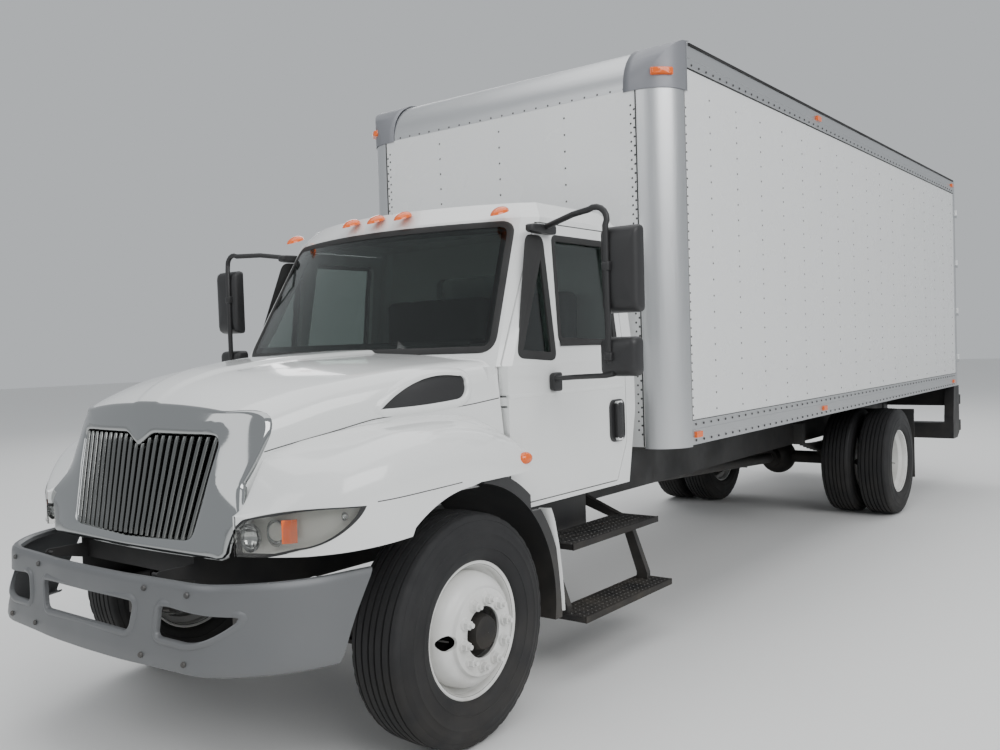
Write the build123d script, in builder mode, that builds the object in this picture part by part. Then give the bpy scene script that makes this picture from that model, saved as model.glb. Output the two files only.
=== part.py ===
from build123d import *
import os
from math import cos, radians, sin, sqrt

os.makedirs("parts", exist_ok=True)

# A medium-duty box truck. Millimetres, +Z up, the truck faces -Y and +X is its left side.
# The origin is on the ground, midway between the front of the bumper and the back of the
# dock blocks. Distances named "front axle to" are measured along the truck from the front axle.

# Overall layout
HEIGHT = 3505
BOX_WIDTH = 2438
BOX_LENGTH = 7150
BOX_START = 1790
WHEELBASE = 6452
BUMPER_REACH = 1130
GUARD_PROUD = 60
BLOCK_THICK = 100
LENGTH = BUMPER_REACH + BOX_START + BOX_LENGTH + GUARD_PROUD + BLOCK_THICK
FRONT_AXLE = BUMPER_REACH - LENGTH / 2
BOX_END = BOX_START + BOX_LENGTH
SIDES = (("left", 1), ("right", -1))

# Clearances
GAP = 6
SEAT = 0.3
RUNNING = 0.3

# Wheels
TYRE_RADIUS = 510
TYRE_WIDTH = 295
TREAD_WIDTH = 236
TYRE_WALL = 22
RIM_FLANGE_RADIUS = 298.5
BEAD_RADIUS = 285.75
RIM_WIDTH = 235
WELL_RADIUS = 258
RIM_THICK = 8
DISC_THICK = 12
STUD_CIRCLE = 285.75
STUD_COUNT = 10
STUD_RADIUS = 11
NUT_RADIUS = 19
HAND_HOLE_RADIUS = 32
HAND_HOLE_CIRCLE = 410
HUB_RADIUS = 108
FRONT_TYRE_X = 1021
DUAL_SPACING = 343
DUAL_OUTER_X = 1086
DISC_OFFSET = DUAL_SPACING / 2
DRUM_RADIUS = 208
DRUM_THICK = 14

# Ladder frame
FRAME_WIDTH = 864
FRAME_TOP = 970
FRAME_DEPTH = 254
FRAME_FLANGE = 82
FRAME_WEB = 8
FRAME_START = -900
FRAME_END_INSET = 70
FRAME_LOW = FRAME_TOP - FRAME_DEPTH

# Axles and springs
KINGPIN_X = 870
KINGPIN_RADIUS = 22
KINGPIN_BOSS = 52
BEAM_DEPTH = 90
BEAM_DROP = 70
STEER_ARM = 215
SPINDLE_RADIUS = 38
AXLE_TUBE_RADIUS = 62
BANJO_RADIUS = 200
SPRING_WIDTH = 76
SPRING_LEAF = 14
FRONT_SPRING_X = 400
REAR_SPRING_X = 484

# Cab
CAB_HALF = 1016
CAB_ROOF_HALF = 925
CAB_LOW = 940
CAB_FLOOR_RISE = 100
CAB_BELT = 1640
CAB_EAVES = 2400
CAB_TOP = 2490
CAB_END = 1704
CAB_WALL = 58
DOOR_START = 458
DOOR_END = 1573
DOOR_LOW = 962
HINGE_Y = 472
HINGE_X = 1003

# Hood
HOOD_END = 447
HOOD_SKIN = 28
ARCH_RADIUS = 627
SHIELD_INNER = ARCH_RADIUS + GAP
SHIELD_SHEET = 8
SHIELD_X = 570
SHIELD_OUT = 1140
FENDER_LOW = 1148
GRILLE_HALF = 703
SURROUND_DEEP = 60
GRILLE_LOW = 905
GRILLE_TOP = 1500
GRILLE_LEAN = 13
GRILLE_REACH = 930
GRILLE_SAG = 145
BAR_COUNT = 23
PIVOT_Y = -1055
PIVOT_Z = 885
PIVOT_X = 400
PIVOT_PIN = 8
PIVOT_ROUND = 14
PIVOT_EAR = 14

# Cargo box
RAIL_LOW = 1115
RAIL_HIGH = 144
FLOOR_TOP = 1262
WALL = 32
WALL_TOP = HEIGHT - 155
POST_RADIUS = 205
POST_WALL = 30
NOSE_RADIUS = 270
FRAME_POST = 90
DOOR_THICK = 42

LONG_SILL = RAIL_LOW + 10 - FRAME_TOP
BOX_HALF = BOX_WIDTH / 2
REAR_AXLE = WHEELBASE

side_view = Plane((0, FRONT_AXLE, 0), x_dir=(0, 1, 0), z_dir=(1, 0, 0))
plan = Plane((0, FRONT_AXLE, 0))


def across(y):
    """Upright plane facing forward, y along the truck from the front axle."""
    return Plane((0, FRONT_AXLE + y, 0), x_dir=(1, 0, 0), z_dir=(0, -1, 0))


def spot(x, y, z):
    """A point whose y is measured from the front axle."""
    return (x, FRONT_AXLE + y, z)


# Ladder frame: two channels and their crossmembers
CROSSMEMBERS = (1450, 2350, 3600, 4900, 5750, 7150, 8300)
FRAME_END = BOX_END - FRAME_END_INSET
CROSS_HIGH = 130
with BuildPart() as frame:
    with BuildSketch(across(FRAME_START)):
        for _, side in SIDES:
            with Locations((side * (FRAME_WIDTH - FRAME_FLANGE) / 2, FRAME_TOP - FRAME_DEPTH / 2)):
                Rectangle(FRAME_FLANGE, FRAME_DEPTH)
            with Locations((side * ((FRAME_WIDTH - FRAME_FLANGE) / 2 - FRAME_WEB), FRAME_TOP - FRAME_DEPTH / 2)):
                Rectangle(FRAME_FLANGE, FRAME_DEPTH - 2 * FRAME_WEB, mode=Mode.SUBTRACT)
    extrude(amount=FRAME_START - FRAME_END)
    for y in (FRAME_START + 60, *CROSSMEMBERS, FRAME_END - 60):
        with BuildSketch(side_view.offset(FRAME_WEB - FRAME_WIDTH / 2)):
            with Locations((y, FRAME_TOP - FRAME_WEB - CROSS_HIGH / 2)):
                Rectangle(70, CROSS_HIGH)
            with Locations((y + FRAME_WEB, FRAME_TOP - FRAME_WEB - CROSS_HIGH / 2)):
                Rectangle(70, CROSS_HIGH - 2 * FRAME_WEB, mode=Mode.SUBTRACT)
        extrude(amount=FRAME_WIDTH - 2 * FRAME_WEB)
    for _, side in SIDES:
        with BuildSketch(side_view.offset(side * (FRAME_WIDTH / 2 - FRAME_WEB))):
            with BuildLine():
                Polyline((PIVOT_Y, PIVOT_Z + PIVOT_ROUND), (FRAME_START + 20, PIVOT_Z + PIVOT_ROUND),
                         (FRAME_START + 20, PIVOT_Z - 4 * PIVOT_ROUND), (PIVOT_Y, PIVOT_Z - PIVOT_ROUND), close=True)
            make_face()
            with Locations((PIVOT_Y, PIVOT_Z)):
                Circle(PIVOT_ROUND)
        extrude(amount=side * FRAME_WEB)
        with BuildSketch(side_view.offset(side * FRAME_WIDTH / 2)):
            with Locations((PIVOT_Y, PIVOT_Z)):
                Circle(PIVOT_PIN)
        extrude(amount=side * (PIVOT_X - PIVOT_EAR - FRAME_WIDTH / 2))
frame.part.label = "ladder_frame"
export_step(frame.part, "parts/ladder_frame.step")


# Front bumper: a wrap-round shell with three openings
BUMPER_LOW = 545
BUMPER_TOP = 870
BUMPER_WALL = 14
BUMPER_END_X = 1080
BUMPER_END_Y = -560
BUMPER_SHOULDER_X = 800
BUMPER_SHOULDER_Y = -985
BUMPER_BAND = 88
BUMPER_RIB_X = 410
BUMPER_RIB = 62
BUMPER_OPEN_END = 880


def bumper_outline(inset):
    """Closed plan outline of the bumper, set in from its outer face."""
    shoulder = (BUMPER_SHOULDER_X - inset, BUMPER_SHOULDER_Y + inset)
    bend = ((BUMPER_SHOULDER_X + BUMPER_END_X) / 2 + 55 - inset, (BUMPER_SHOULDER_Y + BUMPER_END_Y) / 2 - 28 + inset)
    end = (BUMPER_END_X - inset, BUMPER_END_Y + (1 if inset else 0))
    with BuildSketch(plan, mode=Mode.PRIVATE) as outline:
        with BuildLine():
            ThreePointArc((-shoulder[0], shoulder[1]), (0, inset - BUMPER_REACH), shoulder)
            for _, side in SIDES:
                ThreePointArc((side * shoulder[0], shoulder[1]), (side * bend[0], bend[1]), (side * end[0], end[1]))
            Line((-end[0], end[1]), end)
        make_face()
    return outline.sketch


with BuildPart() as bumper:
    with BuildSketch(plan.offset(BUMPER_LOW)):
        add(bumper_outline(0).moved(Location((0, -FRONT_AXLE, 0))))
        add(bumper_outline(BUMPER_WALL).moved(Location((0, -FRONT_AXLE, 0))), mode=Mode.SUBTRACT)
    extrude(amount=BUMPER_TOP - BUMPER_LOW)
    opening_high = BUMPER_TOP - BUMPER_LOW - 2 * BUMPER_BAND
    with BuildSketch(across(-BUMPER_REACH)):
        with Locations((0, (BUMPER_LOW + BUMPER_TOP) / 2)):
            RectangleRounded(2 * BUMPER_RIB_X - BUMPER_RIB, opening_high, 30)
        for _, side in SIDES:
            with Locations((side * (BUMPER_RIB_X + BUMPER_RIB / 2 + BUMPER_OPEN_END) / 2,
                            (BUMPER_LOW + BUMPER_TOP) / 2)):
                RectangleRounded(BUMPER_OPEN_END - BUMPER_RIB_X - BUMPER_RIB / 2, opening_high, 60)
    extrude(amount=-BUMPER_REACH / 2, mode=Mode.SUBTRACT)
    for _, side in SIDES:
        with Locations(spot(side * (FRAME_WIDTH / 2 + SEAT + 5), (10 - BUMPER_REACH + FRAME_START + 100) / 2, BUMPER_TOP - 60)):
            Box(10, FRAME_START + BUMPER_REACH + 90, 100)
bumper.part.label = "front_bumper"
export_step(bumper.part, "parts/front_bumper.step")


# Front axle: a dropped I-beam with an eye for each kingpin
BEAM_TOP = TYRE_RADIUS - 20
EYE_HIGH = 118
with BuildPart() as front_axle:
    with BuildSketch(across(BEAM_DEPTH / 2)):
        with BuildLine():
            low = BEAM_TOP - BEAM_DROP - 80
            Polyline((-560, low), (560, low), (KINGPIN_X - 60, TYRE_RADIUS - 45), (KINGPIN_X, TYRE_RADIUS - 45),
                     (KINGPIN_X, TYRE_RADIUS + 45), (KINGPIN_X - 80, TYRE_RADIUS + 45), (540, low + 95),
                     (-540, low + 95), (80 - KINGPIN_X, TYRE_RADIUS + 45), (-KINGPIN_X, TYRE_RADIUS + 45),
                     (-KINGPIN_X, TYRE_RADIUS - 45), (60 - KINGPIN_X, TYRE_RADIUS - 45), close=True)
        make_face()
    extrude(amount=BEAM_DEPTH)
    for face_y in (-BEAM_DEPTH / 2, BEAM_DEPTH / 2 - 32):
        with BuildSketch(across(face_y + 32)):
            with Locations((0, low + 47)):
                Rectangle(1000, 55)
        extrude(amount=32, mode=Mode.SUBTRACT)
    for _, side in SIDES:
        with Locations(spot(side * KINGPIN_X, 0, TYRE_RADIUS)):
            Cylinder(KINGPIN_BOSS, EYE_HIGH)
            Cylinder(KINGPIN_RADIUS + RUNNING, EYE_HIGH, mode=Mode.SUBTRACT)
front_axle.part.label = "front_axle"
export_step(front_axle.part, "parts/front_axle.step")


# Knuckles: yoke, kingpin, spindle, backing plate and steering arm
LUG_THICK = 40
LUG_RADIUS = 46
YOKE_X = KINGPIN_X + KINGPIN_BOSS + 10
PLATE_RADIUS = 188
PLATE_THICK = 12
SPINDLE_END = FRONT_TYRE_X + 150
TIE_BALL_RADIUS = 16
TIE_Z = TYRE_RADIUS - EYE_HIGH / 2 - LUG_THICK / 2 - 1
for name, side in SIDES:
    with BuildPart() as knuckle:
        for up in (1, -1):
            lug_z = TYRE_RADIUS + up * (EYE_HIGH / 2 + 1 + LUG_THICK / 2)
            with Locations(spot(side * KINGPIN_X, 0, lug_z)):
                Cylinder(LUG_RADIUS, LUG_THICK)
            with Locations(spot(side * (KINGPIN_X + YOKE_X + 20) / 2, 0, lug_z)):
                Box(YOKE_X + 20 - KINGPIN_X, 1.6 * LUG_RADIUS, LUG_THICK)
        with Locations(spot(side * KINGPIN_X, 0, TYRE_RADIUS)):
            Cylinder(KINGPIN_RADIUS, EYE_HIGH + 2 + 2 * LUG_THICK)
        with Locations(spot(side * (YOKE_X + 10), 0, TYRE_RADIUS)):
            Box(20, 120, EYE_HIGH + 2 + 2 * LUG_THICK)
        spindle_plane = Plane(spot(side * YOKE_X, 0, TYRE_RADIUS), x_dir=(0, 1, 0), z_dir=(side, 0, 0))
        with BuildSketch(spindle_plane):
            Circle(SPINDLE_RADIUS)
        extrude(amount=SPINDLE_END - YOKE_X)
        with BuildSketch(spindle_plane.offset(20 - PLATE_THICK)):
            Circle(PLATE_RADIUS)
        extrude(amount=PLATE_THICK)
        with BuildSketch(plan.offset(TIE_Z - LUG_THICK / 2)):
            with Locations((side * KINGPIN_X, STEER_ARM / 2)):
                Rectangle(34, STEER_ARM)
            with Locations((side * KINGPIN_X, STEER_ARM)):
                Circle(24)
        extrude(amount=LUG_THICK)
        with Locations(spot(side * KINGPIN_X, STEER_ARM, TIE_Z - LUG_THICK / 2 - 20)):
            Cylinder(TIE_BALL_RADIUS, 40)
    knuckle.part.label = f"knuckle_{name}"
    export_step(knuckle.part, f"parts/knuckle_{name}.step")


# Tie rod between the two steering arms, with an eye round each arm's pin
EYE_RADIUS = 30
ROD_RADIUS = 18
with BuildPart() as tie_rod:
    tie_z = TIE_Z - LUG_THICK / 2 - 22
    with BuildSketch(Plane(spot(-KINGPIN_X, STEER_ARM, tie_z), x_dir=(0, 1, 0), z_dir=(1, 0, 0))):
        Circle(ROD_RADIUS)
    extrude(amount=2 * KINGPIN_X)
    for _, side in SIDES:
        with Locations(spot(side * KINGPIN_X, STEER_ARM, tie_z)):
            Cylinder(EYE_RADIUS, 32)
            Cylinder(TIE_BALL_RADIUS + RUNNING, 44, mode=Mode.SUBTRACT)
tie_rod.part.label = "tie_rod"
export_step(tie_rod.part, "parts/tie_rod.step")


def wheel_plane(side, x, y):
    """Section plane of a wheel: local x is outboard from its middle, local y is the radius."""
    return Plane(spot(side * x, y, TYRE_RADIUS), x_dir=(side, 0, 0), z_dir=(0, -side, 0))


def tyre_section():
    """One side of a tyre's wall, mirrored about its middle."""
    half, tread = TYRE_WIDTH / 2, TREAD_WIDTH / 2
    shoulder = TYRE_RADIUS - 14
    bulge = (BEAD_RADIUS + TYRE_RADIUS) / 2
    with BuildSketch(mode=Mode.PRIVATE) as section:
        with BuildLine():
            ThreePointArc((-tread, shoulder), (0, TYRE_RADIUS), (tread, shoulder))
            ThreePointArc((tread, shoulder), (half, bulge), (RIM_WIDTH / 2 - 14, RIM_FLANGE_RADIUS - 4))
            Line((RIM_WIDTH / 2 - 14, RIM_FLANGE_RADIUS - 4), (RIM_WIDTH / 2 - 14, BEAD_RADIUS))
            Line((RIM_WIDTH / 2 - 14, BEAD_RADIUS), (RIM_WIDTH / 2 - 40, BEAD_RADIUS))
            ThreePointArc((RIM_WIDTH / 2 - 40, BEAD_RADIUS), (half - TYRE_WALL, bulge),
                          (tread - TYRE_WALL, TYRE_RADIUS - 2 * TYRE_WALL))
            Line((tread - TYRE_WALL, TYRE_RADIUS - 2 * TYRE_WALL), (TYRE_WALL - tread, TYRE_RADIUS - 2 * TYRE_WALL))
            ThreePointArc((TYRE_WALL - tread, TYRE_RADIUS - 2 * TYRE_WALL), (TYRE_WALL - half, bulge),
                          (40 - RIM_WIDTH / 2, BEAD_RADIUS))
            Line((40 - RIM_WIDTH / 2, BEAD_RADIUS), (14 - RIM_WIDTH / 2, BEAD_RADIUS))
            Line((14 - RIM_WIDTH / 2, BEAD_RADIUS), (14 - RIM_WIDTH / 2, RIM_FLANGE_RADIUS - 4))
            ThreePointArc((14 - RIM_WIDTH / 2, RIM_FLANGE_RADIUS - 4), (-half, bulge), (-tread, shoulder))
        make_face()
    return section.sketch


def rim_section(disc):
    """Rim and its disc. disc is 1 when the disc lies outboard of the rim's middle, -1 inboard."""
    half, thick, flange = RIM_WIDTH / 2, RIM_THICK, RIM_FLANGE_RADIUS
    seat = BEAD_RADIUS - SEAT
    face = disc * DISC_OFFSET
    with BuildSketch(mode=Mode.PRIVATE) as section:
        with BuildLine():
            Polyline((-half, flange), (13 - half, flange - 5), (13 - half, seat), (46 - half, seat),
                     (74 - half, WELL_RADIUS), (half - 74, WELL_RADIUS), (half - 46, seat), (half - 13, seat),
                     (half - 13, flange - 5), (half, flange), (half, flange - thick), (half - 5, seat - thick),
                     (half - 43, seat - thick), (half - 71, WELL_RADIUS - thick), (71 - half, WELL_RADIUS - thick),
                     (43 - half, seat - thick), (5 - half, seat - thick), (-half, flange - thick), close=True)
        make_face()
        with BuildLine():
            root = disc * (half - 80)
            Polyline((root - disc * 14, WELL_RADIUS - thick / 2), (root + disc * 4, WELL_RADIUS - thick / 2),
                     (face, HUB_RADIUS + 90), (face, HUB_RADIUS + 2), (face - disc * DISC_THICK, HUB_RADIUS + 2),
                     (face - disc * DISC_THICK, HUB_RADIUS + 86), close=True)
        make_face()
    return section.sketch


# Wheels: a tyre, and a disc wheel bolted to its hub and drum
def hub_section(base, face, nose, bore, bore_end, drum):
    """Hub about its bore. All lengths are outboard positions in the wheel's own section."""
    low, high = drum
    with BuildSketch(mode=Mode.PRIVATE) as section:
        with BuildLine():
            Polyline((base, bore), (bore_end, bore), (bore_end, 0), (nose, 0), (nose, HUB_RADIUS - 34),
                     (nose - 30, HUB_RADIUS - 26), (nose - 30, HUB_RADIUS - 1), (face, HUB_RADIUS - 1),
                     (face, STUD_CIRCLE / 2 + 26), (face - 22, STUD_CIRCLE / 2 + 26), (high, DRUM_RADIUS),
                     (low, DRUM_RADIUS), (low, DRUM_RADIUS - DRUM_THICK), (high - DRUM_THICK, DRUM_RADIUS - DRUM_THICK),
                     (face - 38, STUD_CIRCLE / 2), (face - 38, HUB_RADIUS - 20), (base, HUB_RADIUS - 30), close=True)
        make_face()
    return section.sketch


def bolt_ring(side, x, y, length):
    """Studs and nuts that stand out of a wheel disc from x outboard."""
    with BuildPart(mode=Mode.PRIVATE) as ring:
        with BuildSketch(Plane(spot(side * x, y, TYRE_RADIUS), x_dir=(0, 1, 0), z_dir=(side, 0, 0))):
            with PolarLocations(STUD_CIRCLE / 2, STUD_COUNT):
                RegularPolygon(NUT_RADIUS, 6)
        extrude(amount=length)
    return ring.part


for name, side in SIDES:
    for end, x, y in (("front", FRONT_TYRE_X, 0), ("rear", DUAL_OUTER_X, REAR_AXLE)):
        axis = Axis(spot(0, y, TYRE_RADIUS), (1, 0, 0))
        middles = (x,) if end == "front" else (x, x - DUAL_SPACING)
        with BuildPart() as tyre:
            for middle in middles:
                with BuildSketch(wheel_plane(side, middle, y)):
                    add(tyre_section())
                revolve(axis=axis)
        tyre.part.label = f"tyre_{end}_{name}"
        export_step(tyre.part, f"parts/tyre_{end}_{name}.step")

        with BuildPart() as wheel:
            for number, middle in enumerate(middles):
                disc = 1 if end == "front" or number else -1
                with BuildSketch(wheel_plane(side, middle, y)):
                    add(rim_section(disc))
                revolve(axis=axis)
                hole_plane = Plane(spot(side * middle, y, TYRE_RADIUS), x_dir=(0, 1, 0), z_dir=(side, 0, 0))
                with BuildSketch(hole_plane):
                    with PolarLocations(HAND_HOLE_CIRCLE / 2, 2):
                        Circle(HAND_HOLE_RADIUS)
                extrude(amount=disc * RIM_WIDTH, mode=Mode.SUBTRACT)
            if end == "front":
                face = DISC_OFFSET - DISC_THICK
                hub = hub_section(YOKE_X + 30 - x, face, face + 62, SPINDLE_RADIUS + RUNNING,
                                  SPINDLE_END + GAP - x, (YOKE_X + 28 - x, 20))
                nuts = bolt_ring(side, x + DISC_OFFSET, y, 26)
            else:
                face = -DISC_OFFSET - DISC_THICK
                hub = hub_section(-DUAL_SPACING - 80, face, face + 150, AXLE_TUBE_RADIUS + RUNNING,
                                  face + 60, (-DUAL_SPACING - 90, face - 60))
                nuts = bolt_ring(side, x - DISC_OFFSET + DISC_THICK, y, 26)
            with BuildSketch(wheel_plane(side, x, y)):
                add(hub)
            revolve(axis=axis)
            add(nuts)
        wheel.part.label = f"wheel_{end}_{name}"
        export_step(wheel.part, f"parts/wheel_{end}_{name}.step")


# Rear axle: tubes, banjo and the spring pads
AXLE_END = DUAL_OUTER_X - DISC_OFFSET - DISC_THICK + 54
with BuildPart() as rear_axle:
    with BuildSketch(Plane(spot(-AXLE_END, REAR_AXLE, TYRE_RADIUS), x_dir=(0, 1, 0), z_dir=(1, 0, 0))):
        Circle(AXLE_TUBE_RADIUS)
    extrude(amount=2 * AXLE_END)
    with Locations(spot(0, REAR_AXLE, TYRE_RADIUS)):
        Sphere(BANJO_RADIUS - 20)
    with BuildSketch(across(REAR_AXLE)):
        with Locations((0, TYRE_RADIUS)):
            Circle(90)
    extrude(amount=BANJO_RADIUS + 60)
    for _, side in SIDES:
        with Locations(spot(side * REAR_SPRING_X, REAR_AXLE, TYRE_RADIUS + AXLE_TUBE_RADIUS)):
            Box(SPRING_WIDTH + 10, 200, 50)
rear_axle.part.label = "rear_axle"
export_step(rear_axle.part, "parts/rear_axle.step")


# Leaf springs: each a stack of curved leaves with hangers up to the frame
# Columns: spring centre y, x, half span, top of the axle's pad, leaves
SPRINGS = (
    (0, FRONT_SPRING_X, 640, BEAM_TOP - BEAM_DROP + 15, 4),
    (REAR_AXLE, REAR_SPRING_X, 680, TYRE_RADIUS + AXLE_TUBE_RADIUS + 25, 6),
)
SPRING_SAG = 46
HANGER_LONG = 70
with BuildPart() as springs:
    for y, x, span, pad, leaves in SPRINGS:
        for _, side in SIDES:
            with BuildSketch(side_view.offset(side * x - SPRING_WIDTH / 2)):
                top = pad + SEAT + leaves * SPRING_LEAF
                for leaf in range(leaves):
                    reach = span * (1 - 0.8 * leaf / leaves)
                    rise = SPRING_SAG * (reach / span) ** 2
                    high = top - leaf * SPRING_LEAF
                    with BuildLine():
                        ThreePointArc((y - reach, high + rise), (y, high), (y + reach, high + rise))
                        ThreePointArc((y - reach, high + rise - SPRING_LEAF), (y, high - SPRING_LEAF),
                                      (y + reach, high + rise - SPRING_LEAF))
                        Line((y - reach, high + rise), (y - reach, high + rise - SPRING_LEAF))
                        Line((y + reach, high + rise), (y + reach, high + rise - SPRING_LEAF))
                    make_face()
            extrude(amount=SPRING_WIDTH)
            eye_z = top + SPRING_SAG - SPRING_LEAF
            beside = x > FRAME_WIDTH / 2
            hanger_top = FRAME_TOP - 60 if beside else FRAME_LOW - SEAT
            hanger_in = FRAME_WIDTH / 2 + SEAT if beside else x - SPRING_WIDTH / 2
            hanger_out = x + SPRING_WIDTH / 2
            for way in (-1, 1):
                with Locations(spot(side * (hanger_in + hanger_out) / 2, y + way * span, (eye_z + hanger_top) / 2)):
                    Box(hanger_out - hanger_in, HANGER_LONG, hanger_top - eye_z)
springs.part.label = "leaf_springs"
export_step(springs.part, "parts/leaf_springs.step")


# Drive line: engine and gearbox as one plain block, and the shaft to the rear axle
ENGINE_HALF = 290
ENGINE_LOW = 650
ENGINE_TOP = 1400
ENGINE_START = -600
ENGINE_END = 340
GEARBOX_HALF = 210
GEARBOX_TOP = 925
GEARBOX_END = 1300
SHAFT_RADIUS = 50
SHAFT_START_Z = 760
with BuildPart() as engine:
    with BuildSketch(across(ENGINE_START)):
        with BuildLine():
            Polyline((-ENGINE_HALF + 90, ENGINE_LOW), (ENGINE_HALF - 90, ENGINE_LOW), (ENGINE_HALF, ENGINE_LOW + 180),
                     (ENGINE_HALF, ENGINE_TOP), (-ENGINE_HALF, ENGINE_TOP), (-ENGINE_HALF, ENGINE_LOW + 180), close=True)
        make_face()
    extrude(amount=ENGINE_START - ENGINE_END)
    with BuildSketch(across(ENGINE_END)):
        with Locations((0, (ENGINE_LOW + GEARBOX_TOP) / 2)):
            Rectangle(2 * GEARBOX_HALF, GEARBOX_TOP - ENGINE_LOW)
    extrude(amount=ENGINE_END - GEARBOX_END)
engine.part.label = "engine_block"
export_step(engine.part, "parts/engine_block.step")

SHAFT_GAP = 3
shaft_from = Vector(*spot(0, GEARBOX_END + SHAFT_GAP, SHAFT_START_Z))
shaft_to = Vector(*spot(0, REAR_AXLE - BANJO_RADIUS - 60 - SHAFT_GAP, TYRE_RADIUS))
with BuildPart() as shaft:
    with BuildSketch(Plane(shaft_from, z_dir=shaft_to - shaft_from)):
        Circle(SHAFT_RADIUS)
    extrude(amount=(shaft_to - shaft_from).length)
shaft.part.label = "drive_shaft"
export_step(shaft.part, "parts/drive_shaft.step")

RADIATOR_HALF = 380
RADIATOR_TOP = 1400
RADIATOR_Y = -740
RADIATOR_DEEP = 80
with BuildPart() as radiator:
    radiator_high = RADIATOR_TOP - FRAME_TOP - SEAT
    with Locations(spot(0, RADIATOR_Y, RADIATOR_TOP - radiator_high / 2)):
        Box(2 * RADIATOR_HALF, RADIATOR_DEEP, radiator_high)
        for _, side in SIDES:
            with Locations((side * (RADIATOR_HALF + 20), 0, 0)):
                Box(60, RADIATOR_DEEP + 20, radiator_high)
radiator.part.label = "radiator"
export_step(radiator.part, "parts/radiator.step")


# Tanks and boxes hung beside the frame
BATTERY = (300, 560, 250)
BATTERY_START = 1010
TANK_START = 1860
TANK_LENGTH = 1150
TANK_RADIUS = 190
HUNG_X = FRAME_WIDTH / 2 + SEAT
with BuildPart() as battery_box:
    with Locations(spot(HUNG_X + BATTERY[0] / 2, BATTERY_START + BATTERY[1] / 2, 730)):
        Box(*BATTERY)
        fillet(battery_box.edges().filter_by(Axis.Z), radius=15)
battery_box.part.label = "battery_box"
export_step(battery_box.part, "parts/battery_box.step")

with BuildPart() as fuel_tank:
    with BuildSketch(across(TANK_START)):
        with Locations((-HUNG_X - TANK_RADIUS, 700)):
            RectangleRounded(2 * TANK_RADIUS, 2 * TANK_RADIUS, 120)
    extrude(amount=-TANK_LENGTH)
fuel_tank.part.label = "fuel_tank"
export_step(fuel_tank.part, "parts/fuel_tank.step")

MUFFLER_RADIUS = 110
MUFFLER_X = 270
MUFFLER_Z = 640
MUFFLER_START = 1700
MUFFLER_LENGTH = 1000
PIPE_RADIUS = 50
PIPE_START = 1200
PIPE_LENGTH = 2600
with BuildPart() as exhaust:
    with BuildSketch(across(MUFFLER_START)):
        with Locations((-MUFFLER_X, MUFFLER_Z)):
            Circle(MUFFLER_RADIUS)
    extrude(amount=-MUFFLER_LENGTH)
    with BuildSketch(across(PIPE_START)):
        with Locations((-MUFFLER_X, MUFFLER_Z)):
            Circle(PIPE_RADIUS)
    extrude(amount=-PIPE_LENGTH)
    for y in (MUFFLER_START + 150, MUFFLER_START + MUFFLER_LENGTH - 190):
        with BuildSketch(across(y)):
            strap_out = FRAME_WIDTH / 2 - 4
            with Locations((-(MUFFLER_X + strap_out) / 2, (MUFFLER_Z + FRAME_LOW - SEAT) / 2)):
                Rectangle(strap_out - MUFFLER_X, FRAME_LOW - SEAT - MUFFLER_Z)
        extrude(amount=-40)
exhaust.part.label = "exhaust"
export_step(exhaust.part, "parts/exhaust.step")


# Cab: an outer block and the same block set in by the wall, with openings cut
CAB_NOSE = 380
CAB_PILLAR_HALF = CAB_HALF - CAB_WALL
ROOF_INSET = 75
COWL_MID = 310
COWL_SIDE = 438
COWL_HALF = 965
BROW_MID = 634
BROW_SIDE = 838
BROW_HALF = 850


def cab_outline(z, half, front_half, front_mid, front_side, back, inset):
    """Plan outline of the cab at one height."""
    with BuildSketch(plan.offset(z), mode=Mode.PRIVATE) as outline:
        with BuildLine():
            ThreePointArc((inset - front_half, front_side + inset), (0, front_mid + inset),
                          (front_half - inset, front_side + inset))
            Polyline((front_half - inset, front_side + inset), (half - inset, front_side + 62 + inset),
                     (half - inset, back - inset - 30), (half - inset - 30, back - inset),
                     (inset + 30 - half, back - inset), (inset - half, back - inset - 30),
                     (inset - half, front_side + 62 + inset), (inset - front_half, front_side + inset))
        make_face()
    return outline.sketch


def cab_block(inset):
    """The cab's whole volume, set in by inset on every side."""
    back = CAB_END
    with BuildPart(mode=Mode.PRIVATE) as block:
        floor = CAB_LOW + CAB_FLOOR_RISE * inset / CAB_WALL
        with BuildSketch(plan.offset(floor)):
            with BuildLine():
                Polyline((inset - CAB_PILLAR_HALF, CAB_NOSE + inset), (CAB_PILLAR_HALF - inset, CAB_NOSE + inset),
                         (CAB_PILLAR_HALF - inset, DOOR_START + inset), (CAB_HALF - inset, DOOR_START + inset),
                         (CAB_HALF - inset, back - inset - 30), (CAB_HALF - inset - 30, back - inset),
                         (inset + 30 - CAB_HALF, back - inset), (inset - CAB_HALF, back - inset - 30),
                         (inset - CAB_HALF, DOOR_START + inset), (inset - CAB_PILLAR_HALF, DOOR_START + inset),
                         close=True)
            make_face()
        extrude(amount=CAB_BELT - floor)
        for low, high in (((CAB_BELT, CAB_HALF, COWL_HALF, COWL_MID, COWL_SIDE, back),
                           (CAB_EAVES, CAB_ROOF_HALF, BROW_HALF, BROW_MID, BROW_SIDE, back)),
                          ((CAB_EAVES, CAB_ROOF_HALF, BROW_HALF, BROW_MID, BROW_SIDE, back),
                           (CAB_TOP - inset, CAB_ROOF_HALF - ROOF_INSET, BROW_HALF - ROOF_INSET,
                            BROW_MID + ROOF_INSET, BROW_SIDE + ROOF_INSET, back - ROOF_INSET))):
            with BuildPart(mode=Mode.PRIVATE) as band:
                loft([cab_outline(*low, inset), cab_outline(*high, inset)], ruled=True)
            add(band.part)
    return block.part


cab_outer = cab_block(0)
cab_inner = cab_block(CAB_WALL)
cab_glass_inner = cab_block(8)

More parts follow.
